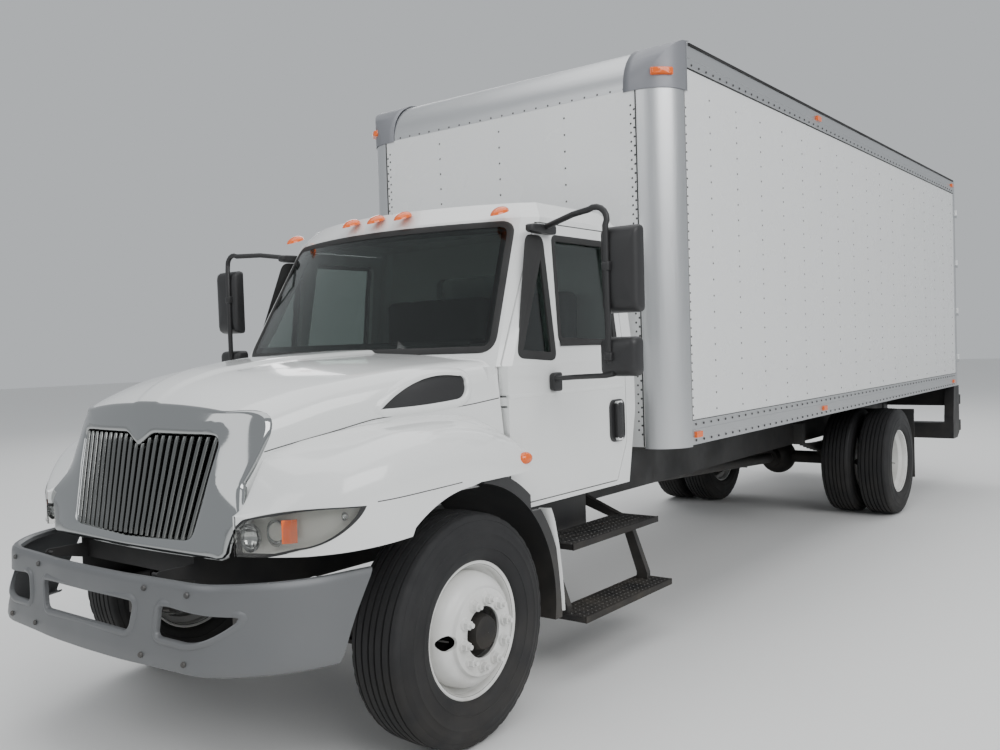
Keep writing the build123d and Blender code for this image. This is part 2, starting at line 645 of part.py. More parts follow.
DOOR_SILL_Y = 1457
DOOR_KICK_Z = 1177
DOOR_TOP = CAB_EAVES - 28
DOOR_BROW_Y = 870


def door_outline(gap):
    """Side outline of the door, set in by gap."""
    with BuildSketch(side_view, mode=Mode.PRIVATE) as outline:
        with BuildLine():
            Polyline((DOOR_START, DOOR_LOW), (DOOR_START, CAB_BELT + 10), (DOOR_BROW_Y, DOOR_TOP),
                     (DOOR_END, DOOR_TOP), (DOOR_END, DOOR_KICK_Z), (DOOR_SILL_Y, DOOR_LOW), close=True)
        make_face()
        if gap:
            offset(amount=-gap, kind=Kind.INTERSECTION)
    return outline.sketch


def door_prism(side, gap):
    """Region of the cab's side wall that a door fills, with room behind it where gap is zero."""
    lower_in = CAB_HALF - CAB_WALL - GAP + gap
    upper_in = CAB_ROOF_HALF - CAB_WALL - GAP + gap
    beyond = CAB_HALF + CAB_WALL
    with BuildPart(mode=Mode.PRIVATE) as prism:
        with BuildSketch(across(0)):
            with BuildLine():
                Polyline((side * lower_in, CAB_LOW), (side * lower_in, CAB_BELT), (side * upper_in, CAB_EAVES),
                         (side * beyond, CAB_EAVES), (side * beyond, CAB_LOW), close=True)
            make_face()
        extrude(amount=-CAB_END)
        extrude(door_outline(gap), amount=side * beyond, mode=Mode.INTERSECT)
    return prism.part


def window_outline(inset):
    """Vent window and main window of a door."""
    with BuildSketch(side_view, mode=Mode.PRIVATE) as outline:
        with BuildLine():
            Polyline((560, CAB_BELT + 50), (872, CAB_BELT + 28), (885, DOOR_TOP - 82), close=True)
        make_face()
        with BuildLine():
            Polyline((935, CAB_BELT + 112), (DOOR_END - 73, CAB_BELT + 95), (DOOR_END - 73, DOOR_TOP - 72),
                     (990, DOOR_TOP - 72), close=True)
        make_face()
        fillet(outline.vertices(), radius=28)
        if inset:
            offset(amount=-inset)
    return outline.sketch


def windshield_outline(inset):
    """Windshield opening seen from the front."""
    with BuildSketch(across(0), mode=Mode.PRIVATE) as outline:
        with BuildLine():
            Polyline((-915, CAB_BELT + 85), (915, CAB_BELT + 85), (815, CAB_EAVES - 32), (-815, CAB_EAVES - 32),
                     close=True)
        make_face()
        fillet(outline.vertices(), radius=60)
        if inset:
            offset(amount=-inset)
    return outline.sketch


def back_window_outline(inset):
    """Rear cab window opening."""
    with BuildSketch(across(CAB_END), mode=Mode.PRIVATE) as outline:
        with Locations((0, (CAB_BELT + CAB_EAVES) / 2 - 40)):
            RectangleRounded(900 - 2 * inset, 420 - 2 * inset, 50)
    return outline.sketch


DOOR_HINGE_Z = (1150, 1450)
CAB_MOUNT_Y = (540, 1540)
CAB_MOUNT_RADIUS = 38
PIN_RADIUS = 5
BARREL_RADIUS = 8
with BuildPart() as cab:
    add(cab_outer)
    add(cab_inner, mode=Mode.SUBTRACT)
    for _, side in SIDES:
        add(door_prism(side, 0), mode=Mode.SUBTRACT)
        with BuildSketch(side_view.offset(side * (SHIELD_X - GAP))):
            with Locations((0, TYRE_RADIUS)):
                Circle(SHIELD_INNER + SHIELD_SHEET + SEAT)
        extrude(amount=side * CAB_HALF, mode=Mode.SUBTRACT)
    with Locations(spot(0, CAB_END / 2, (CAB_LOW + FRAME_TOP + GAP) / 2)):
        Box(FRAME_WIDTH + 40, 2 * CAB_END, FRAME_TOP + GAP - CAB_LOW, mode=Mode.SUBTRACT)
    extrude(windshield_outline(0), amount=-900, mode=Mode.SUBTRACT)
    extrude(back_window_outline(0), amount=150, both=True, mode=Mode.SUBTRACT)
    with BuildSketch(side_view.offset(-CAB_HALF)):
        with BuildLine():
            Polyline((CAB_END + 1, 1500), (CAB_END + 1, CAB_LOW - 1), (1586, CAB_LOW - 1), close=True)
        make_face()
    extrude(amount=2 * CAB_HALF, mode=Mode.SUBTRACT)
    for _, side in SIDES:
        for z in DOOR_HINGE_Z:
            with BuildSketch(plan.offset(z)):
                with BuildLine():
                    Polyline((side * 930, 440), (side * 950, 440), (side * 950, DOOR_START - 4),
                             (side * (HINGE_X + 1), HINGE_Y - BARREL_RADIUS + 1),
                             (side * HINGE_X, HINGE_Y + BARREL_RADIUS - 1), (side * 930, DOOR_START), close=True)
                make_face()
                with Locations((side * HINGE_X, HINGE_Y)):
                    Circle(BARREL_RADIUS)
            extrude(amount=40)
            with Locations(spot(side * HINGE_X, HINGE_Y, z + 20)):
                Cylinder(PIN_RADIUS, 100)
        for y in CAB_MOUNT_Y:
            with Locations(spot(side * (FRAME_WIDTH - FRAME_FLANGE) / 2, y, FRAME_TOP + SEAT)):
                Cylinder(CAB_MOUNT_RADIUS, 2 * GAP, align=(Align.CENTER, Align.CENTER, Align.MIN))
cab.part.label = "cab_shell"
export_step(cab.part, "parts/cab_shell.step")

with BuildPart() as cab_glass:
    add(cab_outer)
    add(cab_glass_inner, mode=Mode.SUBTRACT)
    with BuildPart(mode=Mode.PRIVATE) as panes:
        extrude(windshield_outline(SEAT), amount=-900)
        extrude(back_window_outline(SEAT), amount=150, both=True)
    add(panes.part, mode=Mode.INTERSECT)
cab_glass.part.label = "cab_glass"
export_step(cab_glass.part, "parts/cab_glass.step")


# Doors, their glass and mirrors
MIRROR_Y = 750
MIRROR_X = 1485
MIRROR_TUBE_X = 1431
# Columns: foot x, y and z, then the height where the arm meets the upright tube
MIRROR_ARMS = ((936, 900, 2340, 2340), (CAB_HALF + 1.3, 832, 1560, 1583))
for name, side in SIDES:
    with BuildPart() as door:
        add(cab_outer)
        add(cab_inner, mode=Mode.SUBTRACT)
        add(door_prism(side, GAP), mode=Mode.INTERSECT)
        extrude(window_outline(0), amount=side * 1200, mode=Mode.SUBTRACT)
        for z in DOOR_HINGE_Z:
            with Locations(spot(side * (HINGE_X - 22), (DOOR_START + HINGE_Y) / 2 + 2, z + 20)):
                Box(62, HINGE_Y - DOOR_START + 24, 60, mode=Mode.SUBTRACT)
            with Locations(spot(side * HINGE_X, HINGE_Y, z + 20)):
                Cylinder(PIN_RADIUS + RUNNING, 104, mode=Mode.SUBTRACT)
        with Locations(spot(side * (CAB_HALF + 12), 1465, 1301)):
            Box(24, 50, 220)
    door.part.label = f"door_{name}"
    export_step(door.part, f"parts/door_{name}.step")

    with BuildPart() as door_glass:
        with BuildPart(mode=Mode.PRIVATE) as skin:
            add(cab_block(20))
            add(cab_block(28), mode=Mode.SUBTRACT)
        add(skin.part)
        extrude(window_outline(SEAT), amount=side * 1200, mode=Mode.INTERSECT)
    door_glass.part.label = f"door_glass_{name}"
    export_step(door_glass.part, f"parts/door_glass_{name}.step")

    with BuildPart() as mirror:
        with Locations(spot(side * MIRROR_X, MIRROR_Y, 2081)):
            Box(203, 60, 406)
        with Locations(spot(side * MIRROR_X, MIRROR_Y, 1670)):
            Box(203, 60, 187)
        with Locations(spot(side * MIRROR_TUBE_X, MIRROR_Y + 40, (MIRROR_ARMS[0][3] + MIRROR_ARMS[1][3]) / 2)):
            Cylinder(14, MIRROR_ARMS[0][3] - MIRROR_ARMS[1][3] + 40)
        for from_x, from_y, from_z, to_z in MIRROR_ARMS:
            start = Vector(*spot(side * from_x, from_y, from_z))
            end = Vector(*spot(side * MIRROR_TUBE_X, MIRROR_Y + 40, to_z))
            with BuildSketch(Plane(start, z_dir=end - start)):
                Circle(10)
            extrude(amount=(end - start).length)
    mirror.part.label = f"mirror_{name}"
    export_step(mirror.part, f"parts/mirror_{name}.step")


# Inside the cab: dashboard with its steering wheel, and the seats
DASH_INSET = 75
with BuildPart() as dashboard:
    with BuildSketch(side_view.offset(DASH_INSET - CAB_PILLAR_HALF + CAB_WALL)):
        with BuildLine():
            Polyline((CAB_NOSE + CAB_WALL + 1, CAB_BELT - 440), (640, CAB_BELT - 400), (700, CAB_BELT - 220),
                     (690, CAB_BELT - 80), (560, CAB_BELT + 20), (CAB_NOSE + CAB_WALL + 1, CAB_BELT - 10), close=True)
        make_face()
    extrude(amount=2 * (CAB_PILLAR_HALF - CAB_WALL - DASH_INSET))
    column_from = Vector(*spot(440, 640, CAB_BELT - 260))
    column_to = Vector(*spot(440, 800, CAB_BELT - 140))
    with BuildSketch(Plane(column_from, z_dir=column_to - column_from)):
        Circle(30)
    extrude(amount=(column_to - column_from).length)
    wheel_at = Plane(column_to, z_dir=column_to - column_from)
    with BuildSketch(wheel_at):
        Circle(225)
        Circle(195, mode=Mode.SUBTRACT)
        for turn in (90, 210, 330):
            with Locations(Location((0, 0), turn)):
                with Locations((105, 0)):
                    Rectangle(200, 40)
        Circle(60)
    extrude(amount=26)
dashboard.part.label = "dashboard"
export_step(dashboard.part, "parts/dashboard.step")

SEAT_BASE = CAB_LOW + CAB_FLOOR_RISE
with BuildPart() as seats:
    for x, wide in ((440, 520), (-330, 860)):
        with BuildSketch(side_view.offset(x - wide / 2)):
            with BuildLine():
                Polyline((1060, SEAT_BASE + SEAT), (1500, SEAT_BASE + SEAT), (1560, 1420), (1610, 2050), (1520, 2060),
                         (1440, 1480), (1000, 1470), (990, 1340), (1060, 1320), close=True)
            make_face()
        extrude(amount=wide)
seats.part.label = "seats"
export_step(seats.part, "parts/seats.step")


# Cab steps: two treads a side on brackets from the frame
LOW_TREAD = 330
# Columns: tread top z, inner x, outer x, front y, back y
TREADS = ((LOW_TREAD, 905, 1117, 930, 1880), (700, 790, 1050, 930, 1850))
TREAD_THICK = 30
LEG = 40
LEG_FOOT = 20
with BuildPart() as steps:
    for _, side in SIDES:
        for top, inner, outer, front, back in TREADS:
            with Locations(spot(side * (inner + outer) / 2, (front + back) / 2, top - TREAD_THICK / 2)):
                Box(outer - inner, back - front, TREAD_THICK)
        for y in (935, 1790):
            with BuildSketch(across(y)):
                with BuildLine():
                    Polyline((side * (FRAME_WIDTH / 2 + SEAT), 860), (side * 830, 700), (side * 900, 640),
                             (side * 1000, LOW_TREAD + 2 * LEG_FOOT), (side * 1000, LOW_TREAD - LEG_FOOT),
                             (side * 930, LOW_TREAD - LEG_FOOT), (side * 930, LOW_TREAD + 2 * LEG_FOOT),
                             (side * 840, 640), (side * 800, 668), (side * (FRAME_WIDTH / 2 + SEAT), 790), close=True)
                make_face()
            extrude(amount=-LEG)
steps.part.label = "cab_steps"
export_step(steps.part, "parts/cab_steps.step")


# Splash shields behind the front wheels, fixed to the cab
# Columns: inner x, outer x, radial thickness, top of the part behind the hood
SHIELD_LOW = 400
SHIELD_PARTS = (
    (SHIELD_X, SHIELD_OUT, SHIELD_SHEET, FENDER_LOW - GAP),
    (SHIELD_OUT - 26, SHIELD_OUT, 56, DOOR_LOW - GAP),
)
with BuildPart() as shields:
    for _, side in SIDES:
        for from_x, to_x, thick, behind in SHIELD_PARTS:
            with BuildPart(mode=Mode.PRIVATE) as ring:
                with BuildSketch(side_view.offset(side * from_x)):
                    with Locations((0, TYRE_RADIUS)):
                        Circle(SHIELD_INNER + thick)
                        Circle(SHIELD_INNER, mode=Mode.SUBTRACT)
                    with Locations((HOOD_END, behind)):
                        Rectangle(CAB_END, SHIELD_INNER, align=(Align.MIN, Align.MIN), mode=Mode.SUBTRACT)
                    with Locations((0, FENDER_LOW - GAP)):
                        Rectangle(CAB_END, SHIELD_INNER, align=(Align.MIN, Align.MIN), mode=Mode.SUBTRACT)
                    with Locations((0, SHIELD_LOW)):
                        Rectangle(4 * SHIELD_INNER, 2 * SHIELD_INNER, align=(Align.CENTER, Align.MAX), mode=Mode.SUBTRACT)
                    with Locations((100, 0)):
                        Rectangle(2 * SHIELD_INNER, 4 * SHIELD_INNER, align=(Align.MAX, Align.CENTER), mode=Mode.SUBTRACT)
                extrude(amount=side * (to_x - from_x))
            add(ring.part)
shields.part.label = "splash_shields"
export_step(shields.part, "parts/splash_shields.step")


# Hood: one tilting moulding of bonnet and fenders
# Columns: y, half width at the base, half width at the shoulder, shoulder z, crown z
HOOD_BASE = 1090
BONNET = (
    (-980, 688, 645, 1425, 1508),
    (-450, 850, 800, 1575, 1692),
    (20, 960, 905, 1640, 1728),
    (HOOD_END, 1016, 960, 1668, 1742),
)
# Columns: y, half width, ridge z
FENDER = (
    (-1010, 1130, 1262),
    (-550, 1150, 1366),
    (-190, 1156, 1402),
    (140, 1156, 1374),
    (HOOD_END, 1150, 1226),
)
FENDER_IN = 600
FENDER_FRONT_LOW = 955
SHOULDER_RADIUS = 90
RIDGE_RADIUS = 100
# Plan of the fenders' front, from the grille outwards
PROW = ((GRILLE_HALF, -1000), (900, -905), (1060, -750), (1150, -540))


def bonnet_section(y, base, shoulder, shoulder_z, crown, inset):
    """Arched section of the bonnet at one station."""
    with BuildSketch(across(y), mode=Mode.PRIVATE) as section:
        with BuildLine():
            ThreePointArc((inset - shoulder, shoulder_z - inset), (0, crown - inset), (shoulder - inset, shoulder_z - inset))
            Polyline((shoulder - inset, shoulder_z - inset), (base - inset, HOOD_BASE - 3 * inset),
                     (inset - base, HOOD_BASE - 3 * inset), (inset - shoulder, shoulder_z - inset))
        make_face()
        fillet(section.vertices().group_by(Axis.Y)[-1], radius=SHOULDER_RADIUS - inset)
    return section.sketch


def fender_section(side, y, half, ridge, inset):
    """Rounded section of one fender at one station."""
    inner = FENDER_IN - 3 * inset
    with BuildSketch(across(y), mode=Mode.PRIVATE) as section:
        with BuildLine():
            Polyline((side * inner, FENDER_FRONT_LOW - 3 * inset), (side * (half - inset), FENDER_FRONT_LOW - 3 * inset),
                     (side * (half - inset), ridge - inset), (side * inner, ridge - inset), close=True)
        make_face()
        fillet(section.vertices().group_by(Axis.Y)[-1].sort_by(Axis.X)[-1 if side > 0 else 0], radius=RIDGE_RADIUS - inset)
    return section.sketch


def hood_block(inset):
    """Outer volume of the hood, set in by inset and carried past its open ends."""
    past = 2 * inset
    with BuildPart(mode=Mode.PRIVATE) as block:
        stations = [(y - (past if n == 0 else 0) + (past if n == len(BONNET) - 1 else 0), *rest)
                    for n, (y, *rest) in enumerate(BONNET)]
        loft([bonnet_section(*station, inset) for station in stations], ruled=True)
        for _, side in SIDES:
            stations = [(y + (past if n == len(FENDER) - 1 else 0), *rest) for n, (y, *rest) in enumerate(FENDER)]
            with BuildPart(mode=Mode.PRIVATE) as fender:
                loft([fender_section(side, *station, inset) for station in stations], ruled=True)
                with BuildSketch(plan.offset(FENDER_FRONT_LOW - 4 * HOOD_SKIN)):
                    with BuildLine():
                        Spline([(side * (x - 0.6 * inset), y + 0.8 * inset) for x, y in PROW])
                        Polyline((side * (PROW[-1][0] - 0.6 * inset), PROW[-1][1] + 0.8 * inset), (side * 1400, 0),
                                 (side * 1400, 900), (side * 400, 900), (side * 400, PROW[0][1] + 0.8 * inset),
                                 (side * (PROW[0][0] - 0.6 * inset), PROW[0][1] + 0.8 * inset))
                    make_face()
                extrude(amount=900, mode=Mode.INTERSECT)
            add(fender.part)
    return block.part


hood_outer = hood_block(0)
grille_plane = Plane(spot(0, -GRILLE_REACH, GRILLE_TOP), x_dir=(1, 0, 0),
                     z_dir=(0, sin(radians(GRILLE_LEAN)), cos(radians(GRILLE_LEAN))))
grille_high = (GRILLE_TOP - GRILLE_LOW) / cos(radians(GRILLE_LEAN))
grille_round = (GRILLE_HALF ** 2 + GRILLE_SAG ** 2) / (2 * GRILLE_SAG)


def grille_front(x, depth=0):
    """How far back the curved front lies at x, in the leaning plan."""
    return grille_round - sqrt(grille_round ** 2 - x ** 2) + depth


def grille_band(half, near, far, low, high):
    """A slab of the leaning curved front between two depths."""
    with BuildPart(mode=Mode.PRIVATE) as band:
        with BuildSketch(grille_plane.offset(low)):
            with BuildLine():
                ThreePointArc((-half, grille_front(half, near)), (0, near), (half, grille_front(half, near)))
                Line((half, grille_front(half, near)), (half, grille_front(half, far)))
                ThreePointArc((half, grille_front(half, far)), (0, far), (-half, grille_front(half, far)))
                Line((-half, grille_front(half, far)), (-half, grille_front(half, near)))
            make_face()
        extrude(amount=high - low)
    return band.part


def headlamp_outline(side, inset):
    """Almond outline of a headlamp seen from the front."""
    with BuildSketch(across(0), mode=Mode.PRIVATE) as outline:
        with BuildLine():
            ThreePointArc((side * 722, 962), (side * 758, 1050), (side * 819, 1106))
            ThreePointArc((side * 819, 1106), (side * 969, 1092), (side * 1130, 1120))
            ThreePointArc((side * 1130, 1120), (side * 1040, 1004), (side * 938, 958))
            ThreePointArc((side * 938, 958), (side * 830, 950), (side * 722, 962))
        make_face()
        if inset:
            offset(amount=-inset)
    return outline.sketch


VENT_FRONT = -225
VENT_BACK = 215


def vent_outline(side, inset):
    """Leaf outline of the vent in the bonnet's side."""
    with BuildSketch(side_view.offset(side * 700), mode=Mode.PRIVATE) as outline:
        with BuildLine():
            ThreePointArc((VENT_FRONT, 1478), (0, 1560), (VENT_BACK, 1606))
            Line((VENT_BACK, 1606), (VENT_BACK - 10, 1532))
            ThreePointArc((VENT_BACK - 10, 1532), (0, 1500), (VENT_FRONT, 1478))
        make_face()
        if inset:
            offset(amount=-inset)
    return outline.sketch


with BuildPart() as hood:
    add(hood_outer)
    add(hood_block(HOOD_SKIN), mode=Mode.SUBTRACT)
    add(grille_band(GRILLE_HALF + 60, -600, SURROUND_DEEP, -grille_high - 200, 200), mode=Mode.SUBTRACT)
    add(cab_block(-GAP), mode=Mode.SUBTRACT)
    for _, side in SIDES:
        with BuildSketch(side_view.offset(side * 500)):
            with Locations((0, TYRE_RADIUS)):
                Circle(ARCH_RADIUS)
            with Locations((HOOD_END / 2 + 20, (FENDER_LOW + 800) / 2)):
                Rectangle(HOOD_END + 60, FENDER_LOW - 800)
        extrude(amount=side * 800, mode=Mode.SUBTRACT)
        extrude(headlamp_outline(side, 0), amount=1100, mode=Mode.SUBTRACT)
        extrude(vent_outline(side, 0), amount=side * 400, mode=Mode.SUBTRACT)
hood.part.label = "hood"
export_step(hood.part, "parts/hood.step")

with BuildPart() as vent_screens:
    with BuildPart(mode=Mode.PRIVATE) as leaves:
        for _, side in SIDES:
            extrude(vent_outline(side, SEAT), amount=side * 400)
    add(hood_block(12))
    add(hood_block(20), mode=Mode.SUBTRACT)
    add(leaves.part, mode=Mode.INTERSECT)
vent_screens.part.label = "vent_screens"
export_step(vent_screens.part, "parts/vent_screens.step")

LENS_THICK = 14
with BuildPart() as lamps:
    with BuildPart(mode=Mode.PRIVATE) as almonds:
        for _, side in SIDES:
            extrude(headlamp_outline(side, SEAT), amount=1100)
    add(hood_outer)
    add(hood_block(LENS_THICK), mode=Mode.SUBTRACT)
    add(grille_band(GRILLE_HALF + 60, -600, SURROUND_DEEP, -grille_high - 200, 200), mode=Mode.SUBTRACT)
    add(almonds.part, mode=Mode.INTERSECT)
lamps.part.label = "front_lamps"
export_step(lamps.part, "parts/front_lamps.step")

# Grille: a wide surround and upright bars on two carriers behind it
OPENING_HALF = 588
OPENING_LOW = 965
OPENING_TOP = 1425
OPENING_RADIUS = 40
CARRIER = 40
CARRIER_DEEP = 14
BAR_WIDE = 20
BAR_DEEP = 34
with BuildPart() as surround:
    add(grille_band(GRILLE_HALF + 60, 0, SURROUND_DEEP - SEAT, -grille_high - 200, 200))
    with BuildSketch(across(0)):
        with Locations((0, (GRILLE_LOW + GRILLE_TOP) / 2)):
            RectangleRounded(2 * GRILLE_HALF, GRILLE_TOP - GRILLE_LOW, 100)
        with Locations((0, (OPENING_LOW + OPENING_TOP) / 2)):
            RectangleRounded(2 * OPENING_HALF, OPENING_TOP - OPENING_LOW, OPENING_RADIUS, mode=Mode.SUBTRACT)
    extrude(amount=1300, mode=Mode.INTERSECT)
surround.part.label = "grille_surround"
export_step(surround.part, "parts/grille_surround.step")

opening_mid = (OPENING_LOW + OPENING_TOP) / 2
with BuildPart() as bars:
    add(grille_band(OPENING_HALF + CARRIER, SURROUND_DEEP, SURROUND_DEEP + CARRIER_DEEP, -grille_high, 0))
    with BuildSketch(across(0)):
        with Locations((0, opening_mid)):
            Rectangle(2 * (OPENING_HALF + CARRIER), OPENING_TOP - OPENING_LOW + 2 * CARRIER)
            Rectangle(2 * (OPENING_HALF - CARRIER), OPENING_TOP - OPENING_LOW - CARRIER, mode=Mode.SUBTRACT)
    extrude(amount=1300, mode=Mode.INTERSECT)
    with BuildPart(mode=Mode.PRIVATE) as uprights:
        with BuildSketch(grille_plane.offset(-grille_high)):
            for number in range(BAR_COUNT):
                x = (number - (BAR_COUNT - 1) / 2) * 2 * (OPENING_HALF - CARRIER) / (BAR_COUNT - 1)
                with Locations((x, grille_front(x, SURROUND_DEEP + 2 - BAR_DEEP / 2))):
                    Rectangle(BAR_WIDE, BAR_DEEP)
        extrude(amount=grille_high)
        with BuildSketch(across(0)):
            with Locations((0, opening_mid)):
                RectangleRounded(2 * (OPENING_HALF - GAP), OPENING_TOP - OPENING_LOW - 2 * GAP, OPENING_RADIUS)
        extrude(amount=1300, mode=Mode.INTERSECT)
    add(uprights.part)
    for _, side in SIDES:
        with BuildSketch(side_view.offset(side * PIVOT_X - PIVOT_EAR / 2)):
            with BuildLine():
                Polyline((PIVOT_Y, PIVOT_Z + PIVOT_ROUND), (-950, PIVOT_Z + PIVOT_ROUND), (-940, 950), (-915, 950),
                         (-915, 900), (-935, PIVOT_Z - PIVOT_ROUND), (PIVOT_Y, PIVOT_Z - PIVOT_ROUND), close=True)
            make_face()
            with Locations((PIVOT_Y, PIVOT_Z)):
                Circle(PIVOT_ROUND)
                Circle(PIVOT_PIN + RUNNING, mode=Mode.SUBTRACT)
        extrude(amount=PIVOT_EAR)
bars.part.label = "grille_bars"
export_step(bars.part, "parts/grille_bars.step")


# Cargo box: floor with cross sills, panels, posts, nose, roof and rails
SILL_COUNT = 18
SILL_WIDE = 60
FLOOR_THICK = 30
PANEL_STEP = 6
PANEL_OUT = BOX_HALF - PANEL_STEP
PANEL_IN = PANEL_OUT - WALL
POST_Y = BOX_START + POST_RADIUS
POST_X = BOX_HALF - POST_RADIUS
BODY_END = BOX_END - 70
LONG_SILL_WIDE = 80
with BuildPart() as box_floor:
    with Locations(spot(0, (BOX_START + WALL + SEAT + BODY_END - SEAT) / 2, FLOOR_TOP - FLOOR_THICK / 2)):
        Box(2 * (PANEL_IN - SEAT), BODY_END - BOX_START - WALL - 2 * SEAT, FLOOR_THICK)
    with BuildPart(mode=Mode.PRIVATE) as corners:
        for _, side in SIDES:
            with Locations(spot(side * BOX_HALF, BOX_START, FLOOR_TOP)):
                Box(2 * POST_RADIUS, 2 * POST_RADIUS, 4 * FLOOR_THICK)
            with Locations(spot(side * POST_X, POST_Y, FLOOR_TOP)):
                Cylinder(POST_RADIUS - POST_WALL - SEAT, 4 * FLOOR_THICK, mode=Mode.SUBTRACT)
    add(corners.part, mode=Mode.SUBTRACT)
    sill_top = FLOOR_TOP - FLOOR_THICK
    sill_low = RAIL_LOW + 10
    for number in range(SILL_COUNT):
        y = POST_Y + SILL_WIDE + number * (BODY_END - POST_Y - 2 * SILL_WIDE) / (SILL_COUNT - 1)
        with Locations(spot(0, y, (sill_top + sill_low) / 2)):
            Box(2 * (BOX_HALF - 8 - SEAT), SILL_WIDE, sill_top - sill_low)
    for _, side in SIDES:
        with Locations(spot(side * (FRAME_WIDTH - LONG_SILL_WIDE) / 2, (POST_Y + BODY_END) / 2,
                            (sill_low + FRAME_TOP + SEAT) / 2)):
            Box(LONG_SILL_WIDE, BODY_END - POST_Y - 2 * SEAT, sill_low - FRAME_TOP - SEAT)
box_floor.part.label = "box_floor"
export_step(box_floor.part, "parts/box_floor.step")

NOSE_Y = BOX_START + NOSE_RADIUS
ROOF_EDGE = HEIGHT - 12
NOSE_LOW = ROOF_EDGE - NOSE_RADIUS - 8
RAIL_PLATE = 8
with BuildPart() as panels:
    for _, side in SIDES:
        with Locations(spot(side * (PANEL_IN + PANEL_OUT) / 2, (POST_Y + BODY_END) / 2,
                            (RAIL_LOW + RAIL_HIGH + SEAT + WALL_TOP) / 2)):
            Box(WALL, BODY_END - POST_Y - 2 * SEAT, WALL_TOP - RAIL_LOW - RAIL_HIGH - SEAT)
    with Locations(spot(0, BOX_START + WALL / 2, (RAIL_LOW + NOSE_LOW - SEAT) / 2)):
        Box(2 * (POST_X - SEAT), WALL, NOSE_LOW - SEAT - RAIL_LOW)
panels.part.label = "box_panels"
export_step(panels.part, "parts/box_panels.step")

with BuildPart() as posts:
    with BuildSketch(plan.offset(RAIL_LOW - 10)):
        for _, side in SIDES:
            with BuildLine():
                CenterArc((side * POST_X, POST_Y), POST_RADIUS, -90 if side > 0 else 180, 90)
                CenterArc((side * POST_X, POST_Y), POST_RADIUS - POST_WALL, -90 if side > 0 else 180, 90)
                Line((side * POST_X, BOX_START), (side * POST_X, BOX_START + POST_WALL))
                Line((side * BOX_HALF, POST_Y), (side * (BOX_HALF - POST_WALL), POST_Y))
            make_face()
    extrude(amount=NOSE_LOW - SEAT - RAIL_LOW + 10)
posts.part.label = "corner_posts"
export_step(posts.part, "parts/corner_posts.step")


def nose_block(inset):
    """Rounded front end of the box below the roof, set in by inset and carried past its back."""
    front, low, half = BOX_START + inset, NOSE_LOW - inset, BOX_HALF - inset
    back, top = NOSE_Y + POST_WALL + inset, ROOF_EDGE - inset
    with BuildPart(mode=Mode.PRIVATE) as block:
        with BuildSketch(side_view.offset(-half)):
            with BuildLine():
                Polyline((NOSE_Y, top), (back, top), (back, low), (front, low), (front, ROOF_EDGE - NOSE_RADIUS))
                CenterArc((NOSE_Y, ROOF_EDGE - NOSE_RADIUS), NOSE_RADIUS - inset, 90, 90)
            make_face()
        extrude(amount=2 * half)
        with BuildSketch(plan.offset(low)):
            with BuildLine():
                Polyline((-half, POST_Y), (-half, back), (half, back), (half, POST_Y))
                CenterArc((POST_X, POST_Y), POST_RADIUS - inset, -90, 90)
                Line((POST_X, front), (-POST_X, front))
                CenterArc((-POST_X, POST_Y), POST_RADIUS - inset, 180, 90)
            make_face()
        extrude(amount=2 * NOSE_RADIUS, mode=Mode.INTERSECT)
    return block.part


TOP_RAIL_IN = BOX_HALF - 50
with BuildPart() as nose:
    add(nose_block(0))
    add(nose_block(POST_WALL), mode=Mode.SUBTRACT)
    with Locations(spot(0, NOSE_Y + BOX_HALF, ROOF_EDGE)):
        Box(2 * BOX_WIDTH, BOX_WIDTH, 4 * NOSE_RADIUS, mode=Mode.SUBTRACT)
    with Locations(spot(0, POST_Y + BOX_HALF, WALL_TOP + SEAT - NOSE_RADIUS)):
        Box(2 * BOX_WIDTH, BOX_WIDTH, 2 * NOSE_RADIUS, mode=Mode.SUBTRACT)
nose.part.label = "front_nose"
export_step(nose.part, "parts/front_nose.step")

ROOF_THICK = 25
with BuildPart() as roof:
    with BuildSketch(across(NOSE_Y + SEAT)):
        with BuildLine():
            edge = TOP_RAIL_IN - SEAT
            ThreePointArc((-edge, ROOF_EDGE), (0, HEIGHT), (edge, ROOF_EDGE))
            Line((edge, ROOF_EDGE), (edge, ROOF_EDGE - ROOF_THICK))
            ThreePointArc((edge, ROOF_EDGE - ROOF_THICK), (0, HEIGHT - ROOF_THICK), (-edge, ROOF_EDGE - ROOF_THICK))
            Line((-edge, ROOF_EDGE - ROOF_THICK), (-edge, ROOF_EDGE))
        make_face()
    extrude(amount=NOSE_Y + 2 * SEAT - BODY_END)
roof.part.label = "box_roof"
export_step(roof.part, "parts/box_roof.step")

with BuildPart() as rails:
    for _, side in SIDES:
        with Locations(spot(side * (TOP_RAIL_IN + BOX_HALF) / 2, (NOSE_Y + BODY_END) / 2, (WALL_TOP + SEAT + ROOF_EDGE) / 2)):
            Box(BOX_HALF - TOP_RAIL_IN, BODY_END - NOSE_Y - 2 * SEAT, ROOF_EDGE - WALL_TOP - SEAT)
        with Locations(spot(side * (BOX_HALF - RAIL_PLATE / 2), (POST_Y + BODY_END) / 2, RAIL_LOW + RAIL_HIGH / 2)):
            Box(RAIL_PLATE, BODY_END - POST_Y - 2 * SEAT, RAIL_HIGH)
rails.part.label = "side_rails"
export_step(rails.part, "parts/side_rails.step")


